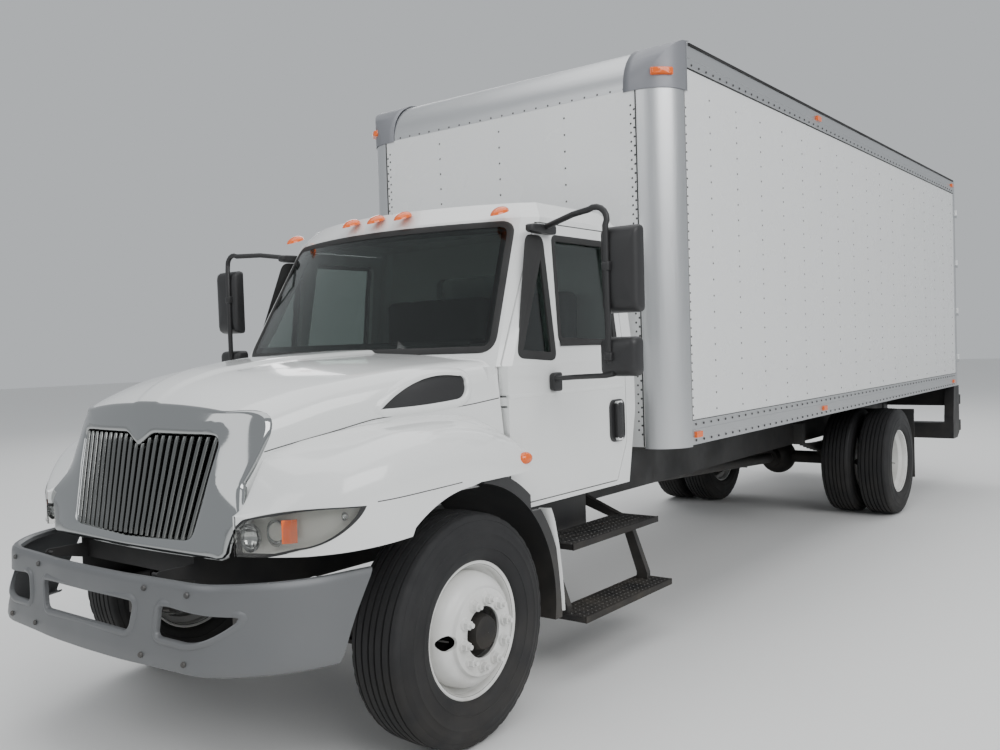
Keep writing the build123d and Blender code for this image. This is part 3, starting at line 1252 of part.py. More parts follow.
# Rear frame and its two swinging doors
SILL_TOP = 1245
HEADER_LOW = WALL_TOP + 23
OPENING_X = BOX_HALF - FRAME_POST
PIN_X = BOX_HALF + 3
PIN_Y = BOX_END + 32
HINGE_LEVELS = (1450, 1990, 2550, 3130)
HINGE_PIN = 8
KNUCKLE_RADIUS = 14
KNUCKLE_HIGH = 60
LUG_HIGH = 30
with BuildPart() as rear_frame:
    for low, high in ((RAIL_LOW, SILL_TOP), (HEADER_LOW, ROOF_EDGE)):
        with Locations(spot(0, (BODY_END + BOX_END) / 2, (low + high) / 2)):
            Box(2 * (OPENING_X - SEAT), BOX_END - BODY_END, high - low)
    for _, side in SIDES:
        with Locations(spot(side * (OPENING_X + BOX_HALF) / 2, (BODY_END + BOX_END) / 2, (RAIL_LOW + ROOF_EDGE) / 2)):
            Box(BOX_HALF - OPENING_X, BOX_END - BODY_END, ROOF_EDGE - RAIL_LOW)
        for z in HINGE_LEVELS:
            with BuildSketch(plan.offset(z - KNUCKLE_HIGH / 2 - 1 - LUG_HIGH)):
                with BuildLine():
                    Polyline((side * (BOX_HALF - 12), BOX_END - 4), (side * (BOX_HALF - 12), PIN_Y),
                             (side * (PIN_X + KNUCKLE_RADIUS - 4), PIN_Y), (side * (PIN_X + KNUCKLE_RADIUS - 4), PIN_Y - 10),
                             (side * BOX_HALF, BOX_END - 4), close=True)
                make_face()
                with Locations((side * PIN_X, PIN_Y)):
                    Circle(KNUCKLE_RADIUS)
            extrude(amount=LUG_HIGH)
            with BuildSketch(plan.offset(z - KNUCKLE_HIGH / 2 - 1)):
                with Locations((side * PIN_X, PIN_Y)):
                    Circle(HINGE_PIN)
            extrude(amount=KNUCKLE_HIGH + 2)
rear_frame.part.label = "rear_frame"
export_step(rear_frame.part, "parts/rear_frame.step")

ROD_X = (150, 880)
LOCK_ROD_RADIUS = 13
ROD_Y = BOX_END + GAP + LOCK_ROD_RADIUS
STRAP_THICK = 8
for name, side in SIDES:
    with BuildPart() as rear_door:
        with Locations(spot(side * (GAP / 2 + OPENING_X - GAP) / 2, BOX_END - DOOR_THICK / 2, (SILL_TOP + HEADER_LOW) / 2)):
            Box(OPENING_X - 1.5 * GAP, DOOR_THICK, HEADER_LOW - SILL_TOP - 2 * GAP)
        for x in ROD_X:
            with Locations(spot(side * x, ROD_Y, (SILL_TOP + HEADER_LOW) / 2)):
                Cylinder(LOCK_ROD_RADIUS, HEADER_LOW - SILL_TOP + 90)
                for z in (-900, -300, 300, 900):
                    with Locations((0, (BOX_END - ROD_Y) / 2, z)):
                        Box(70, ROD_Y - BOX_END, 50)
        for z in HINGE_LEVELS:
            with BuildSketch(plan.offset(z - KNUCKLE_HIGH / 2)):
                with BuildLine():
                    Polyline((side * (OPENING_X - 160), BOX_END - 2), (side * (OPENING_X - 160), BOX_END + GAP + STRAP_THICK),
                             (side * (PIN_X - 40), BOX_END + GAP + STRAP_THICK), (side * (PIN_X - 4), PIN_Y + 8),
                             (side * PIN_X, PIN_Y - 10), (side * (PIN_X - 20), BOX_END + GAP), (side * (OPENING_X - 20), BOX_END + GAP),
                             (side * (OPENING_X - 20), BOX_END - 2), close=True)
                make_face()
                with Locations((side * PIN_X, PIN_Y)):
                    Circle(KNUCKLE_RADIUS)
                    Circle(HINGE_PIN + RUNNING, mode=Mode.SUBTRACT)
            extrude(amount=KNUCKLE_HIGH)
    rear_door.part.label = f"rear_door_{name}"
    export_step(rear_door.part, f"parts/rear_door_{name}.step")


# Rear under-ride guard, dock blocks and mud flaps
GUARD_LOW = 509
GUARD_BAR_TOP = 690
GUARD_START = BOX_END - 180
GUARD_END = BOX_END + GUARD_PROUD
GUARD_WALL = 10
HANGER_TOP = 960
with BuildPart() as guard:
    for _, side in SIDES:
        with BuildSketch(side_view.offset(side * BOX_HALF)):
            with BuildLine():
                Polyline((GUARD_START, RAIL_LOW - SEAT), (GUARD_START - 60, GUARD_BAR_TOP + 60), (GUARD_START - 60, GUARD_LOW),
                         (BOX_END - 40, GUARD_LOW), (GUARD_END, GUARD_LOW + 60), (GUARD_END, RAIL_LOW - SEAT), close=True)
            make_face()
        extrude(amount=-side * 100)
    with BuildSketch(side_view.offset(-BOX_HALF)):
        with Locations((GUARD_START + 40, (GUARD_LOW + GUARD_BAR_TOP) / 2)):
            Rectangle(200, GUARD_BAR_TOP - GUARD_LOW)
            Rectangle(200 - 2 * GUARD_WALL, GUARD_BAR_TOP - GUARD_LOW - 2 * GUARD_WALL, mode=Mode.SUBTRACT)
    extrude(amount=2 * BOX_HALF)
    with BuildSketch(side_view.offset(-BOX_HALF)):
        with Locations((FRAME_END + 35, (RAIL_LOW + 880) / 2 - 4)):
            Rectangle(60, RAIL_LOW - 888)
            with Locations((GUARD_WALL, 0)):
                Rectangle(60, RAIL_LOW - 888 - 2 * GUARD_WALL, mode=Mode.SUBTRACT)
    extrude(amount=2 * BOX_HALF)
    for _, side in SIDES:
        with Locations(spot(side * (FRAME_WIDTH / 2 + SEAT + 6), GUARD_START + 30, (GUARD_BAR_TOP + HANGER_TOP) / 2 - 10)):
            Box(12, 160, HANGER_TOP - GUARD_BAR_TOP + 20)
guard.part.label = "rear_guard"
export_step(guard.part, "parts/rear_guard.step")

# Columns: bottom z, top z
BLOCKS = ((577, 700), (887, 1000))
with BuildPart() as blocks:
    for _, side in SIDES:
        for low, high in BLOCKS:
            with Locations(spot(side * (BOX_HALF - 50), GUARD_END + SEAT / 2 + BLOCK_THICK / 2, (low + high) / 2)):
                Box(90, BLOCK_THICK - SEAT, high - low)
blocks.part.label = "dock_blocks"
export_step(blocks.part, "parts/dock_blocks.step")

FLAP_Y = 7050
FLAP_THICK = 8
FLAP_LOW = 275
FLAP_IN = 600
FLAP_OUT = BOX_HALF - 20
FLAP_BRACKET = 44
with BuildPart() as flaps:
    for _, side in SIDES:
        with BuildSketch(across(FLAP_Y)):
            with Locations((side * (FLAP_IN + FLAP_OUT) / 2, (FLAP_LOW + FRAME_TOP) / 2)):
                Rectangle(FLAP_OUT - FLAP_IN, FRAME_TOP - FLAP_LOW)
        extrude(amount=-FLAP_THICK)
        with Locations(spot(side * (FRAME_WIDTH / 2 + SEAT + FLAP_OUT) / 2, FLAP_Y + FLAP_THICK, FRAME_TOP - FLAP_BRACKET / 2)):
            Box(FLAP_OUT - FRAME_WIDTH / 2 - SEAT, 2 * FLAP_THICK, FLAP_BRACKET)
flaps.part.label = "mud_flaps"
export_step(flaps.part, "parts/mud_flaps.step")

LAMP_PROUD = 16
# Columns: y, z, long, high
SIDE_LAMPS = (
    (2060, RAIL_LOW + 60, 80, 36),
    (4300, RAIL_LOW + 60, 80, 36),
    (8720, RAIL_LOW + 60, 80, 36),
    (4300, WALL_TOP + 80, 80, 36),
    (8800, WALL_TOP + 80, 80, 36),
)
with BuildPart() as marker_lamps:
    for _, side in SIDES:
        for y, z, long, high in SIDE_LAMPS:
            with Locations(spot(side * (BOX_HALF + SEAT + LAMP_PROUD / 2), y, z)):
                Box(LAMP_PROUD, long, high)
        for z in (760, 830):
            with BuildSketch(across(GUARD_END + SEAT)):
                with Locations((side * (BOX_HALF - 50), z)):
                    Circle(30)
            extrude(amount=-LAMP_PROUD)
    for x in (-90, 0, 90):
        with Locations(spot(x, BOX_END + SEAT + LAMP_PROUD / 2, (HEADER_LOW + ROOF_EDGE) / 2)):
            Box(64, LAMP_PROUD, 36)
marker_lamps.part.label = "marker_lamps"
export_step(marker_lamps.part, "parts/marker_lamps.step")
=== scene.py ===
import math

import bmesh
import bpy
from mathutils import Matrix, Vector
from mathutils.bvhtree import BVHTree


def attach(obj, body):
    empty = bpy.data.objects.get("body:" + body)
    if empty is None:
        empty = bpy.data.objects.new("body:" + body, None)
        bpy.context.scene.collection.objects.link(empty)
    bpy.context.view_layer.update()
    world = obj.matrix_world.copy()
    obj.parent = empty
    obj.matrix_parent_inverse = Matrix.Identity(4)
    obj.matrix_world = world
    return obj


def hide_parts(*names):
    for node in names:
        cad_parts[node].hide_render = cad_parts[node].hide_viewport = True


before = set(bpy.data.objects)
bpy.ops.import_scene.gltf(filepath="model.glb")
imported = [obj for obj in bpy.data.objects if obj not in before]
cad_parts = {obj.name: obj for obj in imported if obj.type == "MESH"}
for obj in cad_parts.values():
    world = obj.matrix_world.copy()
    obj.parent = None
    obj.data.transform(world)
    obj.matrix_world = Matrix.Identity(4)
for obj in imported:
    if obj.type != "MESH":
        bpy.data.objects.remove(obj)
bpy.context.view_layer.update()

# A box truck that faces -Y. Shapes are in millimetres, with y measured from the front axle as in the part's source.
FRONT_AXLE = -3.985  # metres, in the frame
REAR_AXLE = 6452
AXLE_Z = 510
FRONT_TYRE_X = 1021
REAR_TYRE_X = 1086
DUAL_SPACING = 343
CAB_HALF = 1016
BELT_Z = 1640
BOX_START = 1790
SIDES = (("left", 1), ("right", -1))
FORWARD = (0, -1, 0)
UPWARD = (0, 0, 1)
WELD = 1e-5  # metres


# Shader groups: effects that several finishes share

def group(name, inputs, outputs):
    """Empty shader node group with its sockets, as (tree, input node, output node)."""
    tree = bpy.data.node_groups.new(name, "ShaderNodeTree")
    for label, kind, value in inputs:
        tree.interface.new_socket(label, in_out="INPUT", socket_type="NodeSocket" + kind).default_value = value
    for label, kind in outputs:
        tree.interface.new_socket(label, in_out="OUTPUT", socket_type="NodeSocket" + kind)
    return tree, tree.nodes.new("NodeGroupInput"), tree.nodes.new("NodeGroupOutput")


def add(tree, kind, **settings):
    """New node with its properties, and its inputs where the name is an input's."""
    node = tree.nodes.new(kind)
    for key, value in settings.items():
        if hasattr(node, key):
            setattr(node, key, value)
        else:
            node.inputs[key.replace("_", " ")].default_value = value
    return node


def join(tree, *wires):
    """Links, each given as a node, its output, the next node and its input."""
    for source, output, target, entry in wires:
        tree.links.new(source.outputs[output], target.inputs[entry])


def object_noise(tree, given, detail):
    """Noise on Object coordinates at the group's Scale."""
    where = add(tree, "ShaderNodeTexCoord")
    noise = add(tree, "ShaderNodeTexNoise", Detail=detail)
    join(tree, (where, "Object", noise, "Vector"), (given, "Scale", noise, "Scale"))
    return noise


def make_smears():
    """Faint uneven sheen: a value between Low and High."""
    tree, given, out = group("smears", (("Scale", "Float", 3.0), ("Low", "Float", 0.2), ("High", "Float", 0.35)),
                             (("Value", "Float"),))
    noise = object_noise(tree, given, 6.0)
    spread = add(tree, "ShaderNodeMapRange", From_Min=0.35, From_Max=0.65)
    join(tree, (noise, "Fac", spread, "Value"), (given, "Low", spread, "To Min"), (given, "High", spread, "To Max"),
         (spread, "Result", out, "Value"))
    return tree


def make_grain():
    """Fine surface relief as a normal."""
    tree, given, out = group("grain", (("Scale", "Float", 200.0), ("Strength", "Float", 0.1),
                                       ("Depth", "Float", 0.001)), (("Normal", "Vector"),))
    noise = object_noise(tree, given, 3.0)
    bump = add(tree, "ShaderNodeBump")
    join(tree, (noise, "Fac", bump, "Height"), (given, "Strength", bump, "Strength"),
         (given, "Depth", bump, "Distance"), (bump, "Normal", out, "Normal"))
    return tree


def make_road_dust():
    """Dust that thickens towards the road: the clean colour mixed with dust, and a mask."""
    tree, given, out = group("road dust", (("Clean", "Color", (1, 1, 1, 1)), ("Top", "Float", 1.0),
                                           ("Amount", "Float", 0.5)), (("Color", "Color"), ("Mask", "Float")))
    where = add(tree, "ShaderNodeTexCoord")
    split = add(tree, "ShaderNodeSeparateXYZ")
    fade = add(tree, "ShaderNodeMapRange", From_Min=0.1, To_Min=1.0, To_Max=0.0)
    noise = add(tree, "ShaderNodeTexNoise", Scale=7.0, Detail=8.0)
    patch = add(tree, "ShaderNodeMapRange", From_Min=0.3, From_Max=0.75)
    both = add(tree, "ShaderNodeMath", operation="MULTIPLY")
    mask = add(tree, "ShaderNodeMath", operation="MULTIPLY")
    mix = add(tree, "ShaderNodeMix", data_type="RGBA")
    mix.inputs[7].default_value = (0.22, 0.19, 0.15, 1)
    join(tree, (where, "Object", split, "Vector"), (split, "Z", fade, "Value"), (given, "Top", fade, "From Max"),
         (where, "Object", noise, "Vector"), (noise, "Fac", patch, "Value"), (fade, "Result", both, 0),
         (patch, "Result", both, 1), (both, "Value", mask, 0), (given, "Amount", mask, 1),
         (mask, "Value", mix, 0), (given, "Clean", mix, 6), (mix, 2, out, "Color"), (mask, "Value", out, "Mask"))
    return tree


def make_drawn_metal():
    """Fine lines drawn along one axis: a value for the roughness and a normal."""
    tree, given, out = group("drawn metal", (("Stretch", "Vector", (1.0, 60.0, 60.0)), ("Strength", "Float", 0.1)),
                             (("Value", "Float"), ("Normal", "Vector")))
    where = add(tree, "ShaderNodeTexCoord")
    scale = add(tree, "ShaderNodeVectorMath", operation="MULTIPLY")
    noise = add(tree, "ShaderNodeTexNoise", Scale=4.0, Detail=5.0)
    spread = add(tree, "ShaderNodeMapRange", To_Min=0.24, To_Max=0.5)
    bump = add(tree, "ShaderNodeBump", Distance=0.0006)
    join(tree, (where, "Object", scale, 0), (given, "Stretch", scale, 1), (scale, "Vector", noise, "Vector"),
         (noise, "Fac", spread, "Value"), (noise, "Fac", bump, "Height"), (given, "Strength", bump, "Strength"),
         (spread, "Result", out, "Value"), (bump, "Normal", out, "Normal"))
    return tree


SMEARS = make_smears()
GRAIN = make_grain()
ROAD_DUST = make_road_dust()
DRAWN_METAL = make_drawn_metal()


def placed(tree, kind, **values):
    """A shader group placed in a material with its own values."""
    node = tree.nodes.new("ShaderNodeGroup")
    node.node_tree = kind
    for key, value in values.items():
        node.inputs[key].default_value = value
    return node


def finish(name, colour, metallic=0.0, coat=0.0, **plain):
    """A material with its shader, ready for its patterns."""
    material = bpy.data.materials.new(name)
    material.use_nodes = True
    tree = material.node_tree
    shader = tree.nodes["Principled BSDF"]
    shader.inputs["Base Color"].default_value = (*colour, 1)
    shader.inputs["Metallic"].default_value = metallic
    shader.inputs["Coat Weight"].default_value = coat
    for key, value in plain.items():
        shader.inputs[key.replace("_", " ")].default_value = value
    material.diffuse_color = (*colour, 1)
    return material, tree, shader


def dusted(name, colour, low, high, dust_top, dust, metallic=0.0, coat=0.0, grain=(300.0, 0.08)):
    """A finish with roughness from low to high, fine grain, and road dust up to a height in metres."""
    material, tree, shader = finish(name, colour, metallic, coat)
    sheen = placed(tree, SMEARS, Scale=3.0, Low=low, High=high)
    road = placed(tree, ROAD_DUST, Clean=(*colour, 1), Top=dust_top, Amount=dust)
    dull = add(tree, "ShaderNodeMath", operation="ADD")
    relief = placed(tree, GRAIN, Scale=grain[0], Strength=grain[1])
    join(tree, (sheen, "Value", dull, 0), (road, "Mask", dull, 1), (road, "Color", shader, "Base Color"),
         (dull, "Value", shader, "Roughness"), (relief, "Normal", shader, "Normal"))
    return material


def drawn(name, colour, stretch):
    """Bare metal with fine lines along one axis."""
    material, tree, shader = finish(name, colour, 1.0)
    lines = placed(tree, DRAWN_METAL, Stretch=stretch, Strength=0.1)
    join(tree, (lines, "Value", shader, "Roughness"), (lines, "Normal", shader, "Normal"))
    return material


def glass(name, tint):
    """Clear tinted glass with faint smears."""
    material, tree, shader = finish(name, tint, Transmission_Weight=1.0, IOR=1.45)
    sheen = placed(tree, SMEARS, Scale=4.0, Low=0.0, High=0.04)
    join(tree, (sheen, "Value", shader, "Roughness"))
    return material


def lamp(name, colour):
    """Moulded lamp plastic with a fine pattern."""
    material, tree, shader = finish(name, colour, coat=0.5)
    sheen = placed(tree, SMEARS, Scale=20.0, Low=0.08, High=0.2)
    relief = placed(tree, GRAIN, Scale=160.0, Strength=0.4)
    join(tree, (sheen, "Value", shader, "Roughness"), (relief, "Normal", shader, "Normal"))
    return material


CAB_PAINT = dusted("cab paint", (0.80, 0.81, 0.80), 0.10, 0.18, 1.1, 0.35, coat=0.6, grain=(60.0, 0.02))
BOX_PAINT = dusted("box paint", (0.78, 0.79, 0.79), 0.22, 0.34, 1.6, 0.3, coat=0.25, grain=(9.0, 0.05))
WHEEL_PAINT = dusted("wheel paint", (0.76, 0.76, 0.74), 0.25, 0.4, 0.9, 0.5, coat=0.2)
CHASSIS_PAINT = dusted("chassis paint", (0.014, 0.014, 0.015), 0.38, 0.6, 1.2, 0.2)
CAST_IRON = dusted("cast iron", (0.022, 0.021, 0.021), 0.5, 0.7, 1.0, 0.3, metallic=0.4, grain=(120.0, 0.3))
BUMPER_PAINT = dusted("bumper paint", (0.15, 0.155, 0.16), 0.34, 0.46, 0.8, 0.15, metallic=0.35, grain=(400.0, 0.06))
BLACK_PLASTIC = dusted("black plastic", (0.02, 0.02, 0.021), 0.36, 0.5, 1.0, 0.3, grain=(500.0, 0.2))
RUBBER = dusted("rubber", (0.022, 0.022, 0.022), 0.6, 0.8, 0.9, 0.35, grain=(250.0, 0.25))
TYRE_RUBBER = dusted("tyre rubber", (0.013, 0.013, 0.014), 0.62, 0.85, 0.8, 0.1, grain=(220.0, 0.25))
# Chrome: partly its own colour, partly darkened as painted shade for the dark reflections it shows
CHROME = dusted("chrome", (0.40, 0.41, 0.41), 0.03, 0.09, 0.6, 0.2, metallic=1.0, grain=(20.0, 0.01))
# The grille bars' chrome is much darker still: painted shade for the gaps between the bars and their dark reflections
BAR_CHROME_PAINTED_SHADE = dusted("grille bars with painted shade", (0.20, 0.205, 0.20), 0.10, 0.22, 1.2, 0.1, metallic=1.0)
GREY_CASTING = dusted("grey casting", (0.235, 0.24, 0.26), 0.38, 0.55, 1.2, 0.1, metallic=0.35, grain=(60.0, 0.25))
STEEL = dusted("dark steel", (0.10, 0.10, 0.10), 0.4, 0.6, 1.0, 0.5, metallic=0.8)
TRIM = dusted("dashboard plastic", (0.07, 0.07, 0.075), 0.45, 0.6, 0.4, 0.0, grain=(400.0, 0.2))
CLOTH = dusted("seat cloth", (0.06, 0.06, 0.065), 0.8, 0.95, 0.4, 0.0, grain=(700.0, 0.6))
UNDERBODY = dusted("underbody", (0.03, 0.03, 0.03), 0.5, 0.75, 1.3, 0.5)
TANK_METAL = drawn("tank metal", (0.55, 0.56, 0.57), (1.0, 30.0, 1.0))
BOX_METAL = drawn("box metal", (0.62, 0.63, 0.64), (60.0, 60.0, 1.0))
RAIL_METAL = drawn("rail metal", (0.60, 0.61, 0.62), (60.0, 0.6, 60.0))
NOSE_METAL = drawn("nose metal", (0.62, 0.63, 0.64), (0.6, 60.0, 60.0))
GLASS = glass("window glass", (0.34, 0.39, 0.37))
LENS = glass("lamp lens", (0.9, 0.9, 0.88))
AMBER = lamp("amber lamp", (0.85, 0.13, 0.002))
HAZE = lamp("hazed reflector", (0.62, 0.62, 0.58))

FINISH = {
    "ladder_frame": CHASSIS_PAINT, "front_bumper": BUMPER_PAINT, "front_axle": CAST_IRON, "tie_rod": STEEL,
    "rear_axle": CAST_IRON, "leaf_springs": STEEL, "drive_shaft": STEEL, "engine_block": CAST_IRON,
    "radiator": STEEL, "battery_box": BLACK_PLASTIC, "fuel_tank": TANK_METAL, "exhaust": STEEL,
    "cab_shell": CAB_PAINT, "cab_glass": GLASS, "dashboard": TRIM, "seats": CLOTH, "cab_steps": BLACK_PLASTIC,
    "splash_shields": BLACK_PLASTIC, "box_floor": UNDERBODY, "box_panels": BOX_PAINT, "corner_posts": BOX_METAL,
    "front_nose": NOSE_METAL, "box_roof": RAIL_METAL, "side_rails": RAIL_METAL, "rear_frame": BOX_METAL,
    "rear_guard": CHASSIS_PAINT, "dock_blocks": RUBBER, "mud_flaps": RUBBER, "marker_lamps": AMBER,
    "hood": CAB_PAINT, "grille_surround": CHROME, "grille_bars": CHROME, "front_lamps": LENS,
}
# Nodes with the side in their names, by how the name starts
SIDED_FINISH = (("tyre", TYRE_RUBBER), ("wheel", WHEEL_PAINT), ("knuckle", CAST_IRON), ("door_glass", GLASS),
                ("rear_door", BOX_PAINT), ("door", CAB_PAINT), ("", BLACK_PLASTIC))
for name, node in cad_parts.items():
    look = FINISH.get(name) or next(look for start, look in SIDED_FINISH if name.startswith(start))
    node.data.materials.clear()
    node.data.materials.append(look)


# Shapes

def at(x, y, z):
    """A point in metres of the frame."""
    return Vector((x / 1000, FRONT_AXLE + y / 1000, z / 1000))


def between(a, b, n, count=1):
    """The point n of count steps from a to b."""
    return tuple(p + (q - p) * n / count for p, q in zip(a, b))


def turns(count, start=0.0):
    """Equal steps round a circle, as angles."""
    return [2 * math.pi * (m + start) / count for m in range(count)]


def shown(name, data):
    """A new object in the scene."""
    obj = bpy.data.objects.new(name, data)
    bpy.context.scene.collection.objects.link(obj)
    return obj


def lofted(rows, closed=False, caps=False):
    """Mesh between rows of points; closed joins the ends of each row, caps fills the first and last."""
    wide = len(rows[0])
    faces = []
    for r in range(len(rows) - 1):
        for c in range(wide if closed else wide - 1):
            a, b = r * wide + c, r * wide + (c + 1) % wide
            faces.append((a, b, b + wide, a + wide))
    if caps:
        faces += [tuple(reversed(range(wide))), tuple(range((len(rows) - 1) * wide, len(rows) * wide))]
    mesh = bpy.data.meshes.new("loft")
    mesh.from_pydata([point for row in rows for point in row], [], faces)
    return mesh


def welded(mesh):
    """Doubles merged and faces turned outwards."""
    work = bmesh.new()
    work.from_mesh(mesh)
    bmesh.ops.remove_doubles(work, verts=work.verts, dist=WELD)
    bmesh.ops.recalc_face_normals(work, faces=work.faces)
    work.to_mesh(mesh)
    work.free()
    return mesh


def tidied(mesh, angle=50):
    """Welded and smooth, with edges sharper than the angle kept sharp."""
    for face in welded(mesh).polygons:
        face.use_smooth = True
    mesh.set_sharp_from_angle(angle=math.radians(angle))
    return mesh


def solid(rows, angle=50):
    """A body through closed outlines, with its ends filled."""
    return tidied(lofted(rows, closed=True, caps=True), angle)


def band(rows, angle=50):
    """A strip through closed outlines, with its ends open."""
    return tidied(lofted(rows, closed=True), angle)


def evaluated(bench):
    """The mesh of an object with its modifiers applied. The object goes."""
    bpy.context.view_layer.update()
    done = bpy.data.meshes.new_from_object(bench.evaluated_get(bpy.context.evaluated_depsgraph_get()))
    bpy.data.objects.remove(bench)
    return done


def baked(mesh, kind, **settings):
    """The mesh after one modifier."""
    bench = shown("bench", mesh)
    modifier = bench.modifiers.new(kind, kind)
    for key, value in settings.items():
        setattr(modifier, key, value)
    return evaluated(bench)


def thickened(mesh, thick):
    """A closed wall, its thickness taken inwards from the outer face."""
    return baked(welded(mesh), "SOLIDIFY", thickness=thick / 1000, offset=-1.0)


def carved(mesh, cutter, operation="DIFFERENCE", folded=False):
    """The mesh cut by, or kept inside, a closed cutter; folded is for a wall that folds into itself."""
    tool = shown("cutter", cutter)
    done = baked(mesh, "BOOLEAN", object=tool, operation=operation, solver="EXACT", use_self=folded)
    bpy.data.objects.remove(tool)
    return done


def mirrored(mesh):
    """Copy on the truck's other side."""
    copy = mesh.copy()
    copy.transform(Matrix.Scale(-1, 4, (1, 0, 0)))
    copy.flip_normals()
    return copy


def merged(*meshes):
    """Several meshes as one."""
    work = bmesh.new()
    for mesh in meshes:
        work.from_mesh(mesh)
    done = bpy.data.meshes.new("merged")
    work.to_mesh(done)
    work.free()
    return done


def both_sides(*meshes):
    """The meshes and their copies on the other side, as one."""
    mesh = merged(*meshes) if len(meshes) > 1 else meshes[0]
    return merged(mesh, mirrored(mesh))


def piece(name, mesh, material, body, slot, *replaced):
    """A finished piece that rides on a body and may stand for CAD nodes."""
    obj = shown(name, mesh)
    mesh.name = name
    mesh.materials.clear()
    mesh.materials.append(material)
    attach(obj, body)
    if replaced:
        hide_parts(*replaced)
    return obj


def prism(outline, near, far):
    """Closed block of an outline of (x, z) between two y."""
    return solid([[at(x, y, z) for x, z in outline] for y in (near, far)], 35)


def side_prism(outline, near, far):
    """Closed block of an outline of (y, z) between two x."""
    return solid([[at(x, y, z) for y, z in outline] for x in (near, far)], 35)


def arc3(a, b, c, count):
    """Points of the circle through a, b and c, without the last."""
    (ax, ay), (bx, by), (cx, cy) = a, b, c
    d = 2 * (ax * (by - cy) + bx * (cy - ay) + cx * (ay - by))
    sa, sb, sc = ax * ax + ay * ay, bx * bx + by * by, cx * cx + cy * cy
    ux = (sa * (by - cy) + sb * (cy - ay) + sc * (ay - by)) / d
    uy = (sa * (cx - bx) + sb * (ax - cx) + sc * (bx - ax)) / d
    radius = math.hypot(ax - ux, ay - uy)
    start, mid, end = (math.atan2(p[1] - uy, p[0] - ux) for p in (a, b, c))
    turn = (end - start) % (2 * math.pi)
    if (mid - start) % (2 * math.pi) > turn:
        turn -= 2 * math.pi
    return [(ux + radius * math.cos(start + turn * n / count), uy + radius * math.sin(start + turn * n / count))
            for n in range(count)]


def along(table, y):
    """A table's other columns at y, on a smooth curve through its rows."""
    n = next((i for i in range(1, len(table) - 1) if y < table[i][0]), len(table) - 1)
    first, last = table[n - 1], table[n]
    before, after = table[max(n - 2, 0)], table[min(n + 1, len(table) - 1)]
    span = last[0] - first[0]
    t = max(0.0, min(1.0, (y - first[0]) / span))
    values = []
    for a, b, c, d in zip(before[1:], first[1:], last[1:], after[1:]):
        leave = (c - a) / (last[0] - before[0]) * span
        arrive = (d - b) / (after[0] - first[0]) * span
        values.append((2 * t ** 3 - 3 * t ** 2 + 1) * b + (t ** 3 - 2 * t ** 2 + t) * leave
                      + (3 * t ** 2 - 2 * t ** 3) * c + (t ** 3 - t ** 2) * arrive)
    return values


def corner(p, q, r, reach, count):
    """Rounded corner at q between p and r, as a curve that starts and ends at reach from it."""
    a = Vector(q) + (Vector(p) - Vector(q)).normalized() * reach
    b = Vector(q) + (Vector(r) - Vector(q)).normalized() * reach
    return [tuple(a * (1 - t) ** 2 + Vector(q) * 2 * t * (1 - t) + b * t ** 2)
            for t in (n / count for n in range(count + 1))]


def rounded(points, reach, count=6):
    """A closed outline with its corners rounded."""
    path = []
    for n, point in enumerate(points):
        path += corner(points[n - 1], point, points[(n + 1) % len(points)], reach, count)
    return path


def divided(path, step):
    """The closed path with long runs split up."""
    fine = []
    for n, point in enumerate(path):
        following = path[(n + 1) % len(path)]
        parts = max(1, int(math.dist(point, following) / step))
        fine += [between(point, following, k, parts) for k in range(parts)]
    return fine


def spaced(points, count):
    """The same path in equal steps."""
    lengths = [0.0]
    for a, b in zip(points, points[1:]):
        lengths.append(lengths[-1] + math.dist(a, b))
    path = []
    n = 0
    for step in range(count + 1):
        want = lengths[-1] * step / count
        while n < len(points) - 2 and lengths[n + 1] < want:
            n += 1
        path.append(between(points[n], points[n + 1], (want - lengths[n]) / max(lengths[n + 1] - lengths[n], 1e-9)))
    return path


def ring_path(path, grow):
    """The outline moved outwards by grow."""
    moved = []
    for n, (a, b) in enumerate(path):
        before, after = path[n - 1], path[(n + 1) % len(path)]
        run = Vector((after[0] - before[0], after[1] - before[1])).normalized()
        moved.append((a - run.y * grow, b + run.x * grow))
    return moved


def ellipse(y, z, half_y, half_z, count):
    """An ellipse as an outline, in the side view or another."""
    return [(y + half_y * math.cos(t), z + half_z * math.sin(t)) for t in turns(count)]


# Hood: bonnet and fenders
HOOD_END = 447
HOOD_BASE = 1090
BONNET_WALL = 8
BONNET_SET_BACK = 24
SHOULDER_ROUND = 110
FENDER_WALL = 5
BULGE_SLOPE = 44
# Columns: y, half width at the base, half width at the shoulder, shoulder z, crown z, bulge half width, bulge rise
BONNET = (
    (-900, 600, 570, 1390, 1458, 60, 2),
    (-740, 703, 668, 1478, 1590, 95, 8),
    (-560, 780, 735, 1540, 1656, 130, 12),
    (-400, 845, 795, 1587, 1680, 155, 14),
    (-180, 910, 855, 1622, 1704, 180, 16),
    (20, 958, 900, 1645, 1712, 205, 17),
    (HOOD_END, CAB_HALF, 958, 1668, 1728, 240, 18),
)
FENDER_ROOT = 600
# Columns: y, inner x, half width, ridge z, reach of the crest, height of the top at the root
FENDER = (
    (-908, 706, 722, 1118, 8, 1128),
    (-850, 694, 850, 1130, 60, 1165),
    (-760, 690, 980, 1200, 120, 1320),
    (-650, 640, 1080, 1275, 150, 1385),
    (-500, FENDER_ROOT, 1140, 1340, 165, 1420),
    (-300, FENDER_ROOT, 1158, 1385, 175, 1462),
    (0, FENDER_ROOT, 1158, 1392, 175, 1505),
    (230, FENDER_ROOT, 1156, 1345, 165, 1540),
    (HOOD_END, FENDER_ROOT, 1150, 1232, 130, 1540),
)
ARCH_RADIUS = 627
ARCH_FOOT = 988
FENDER_LOW = 1148
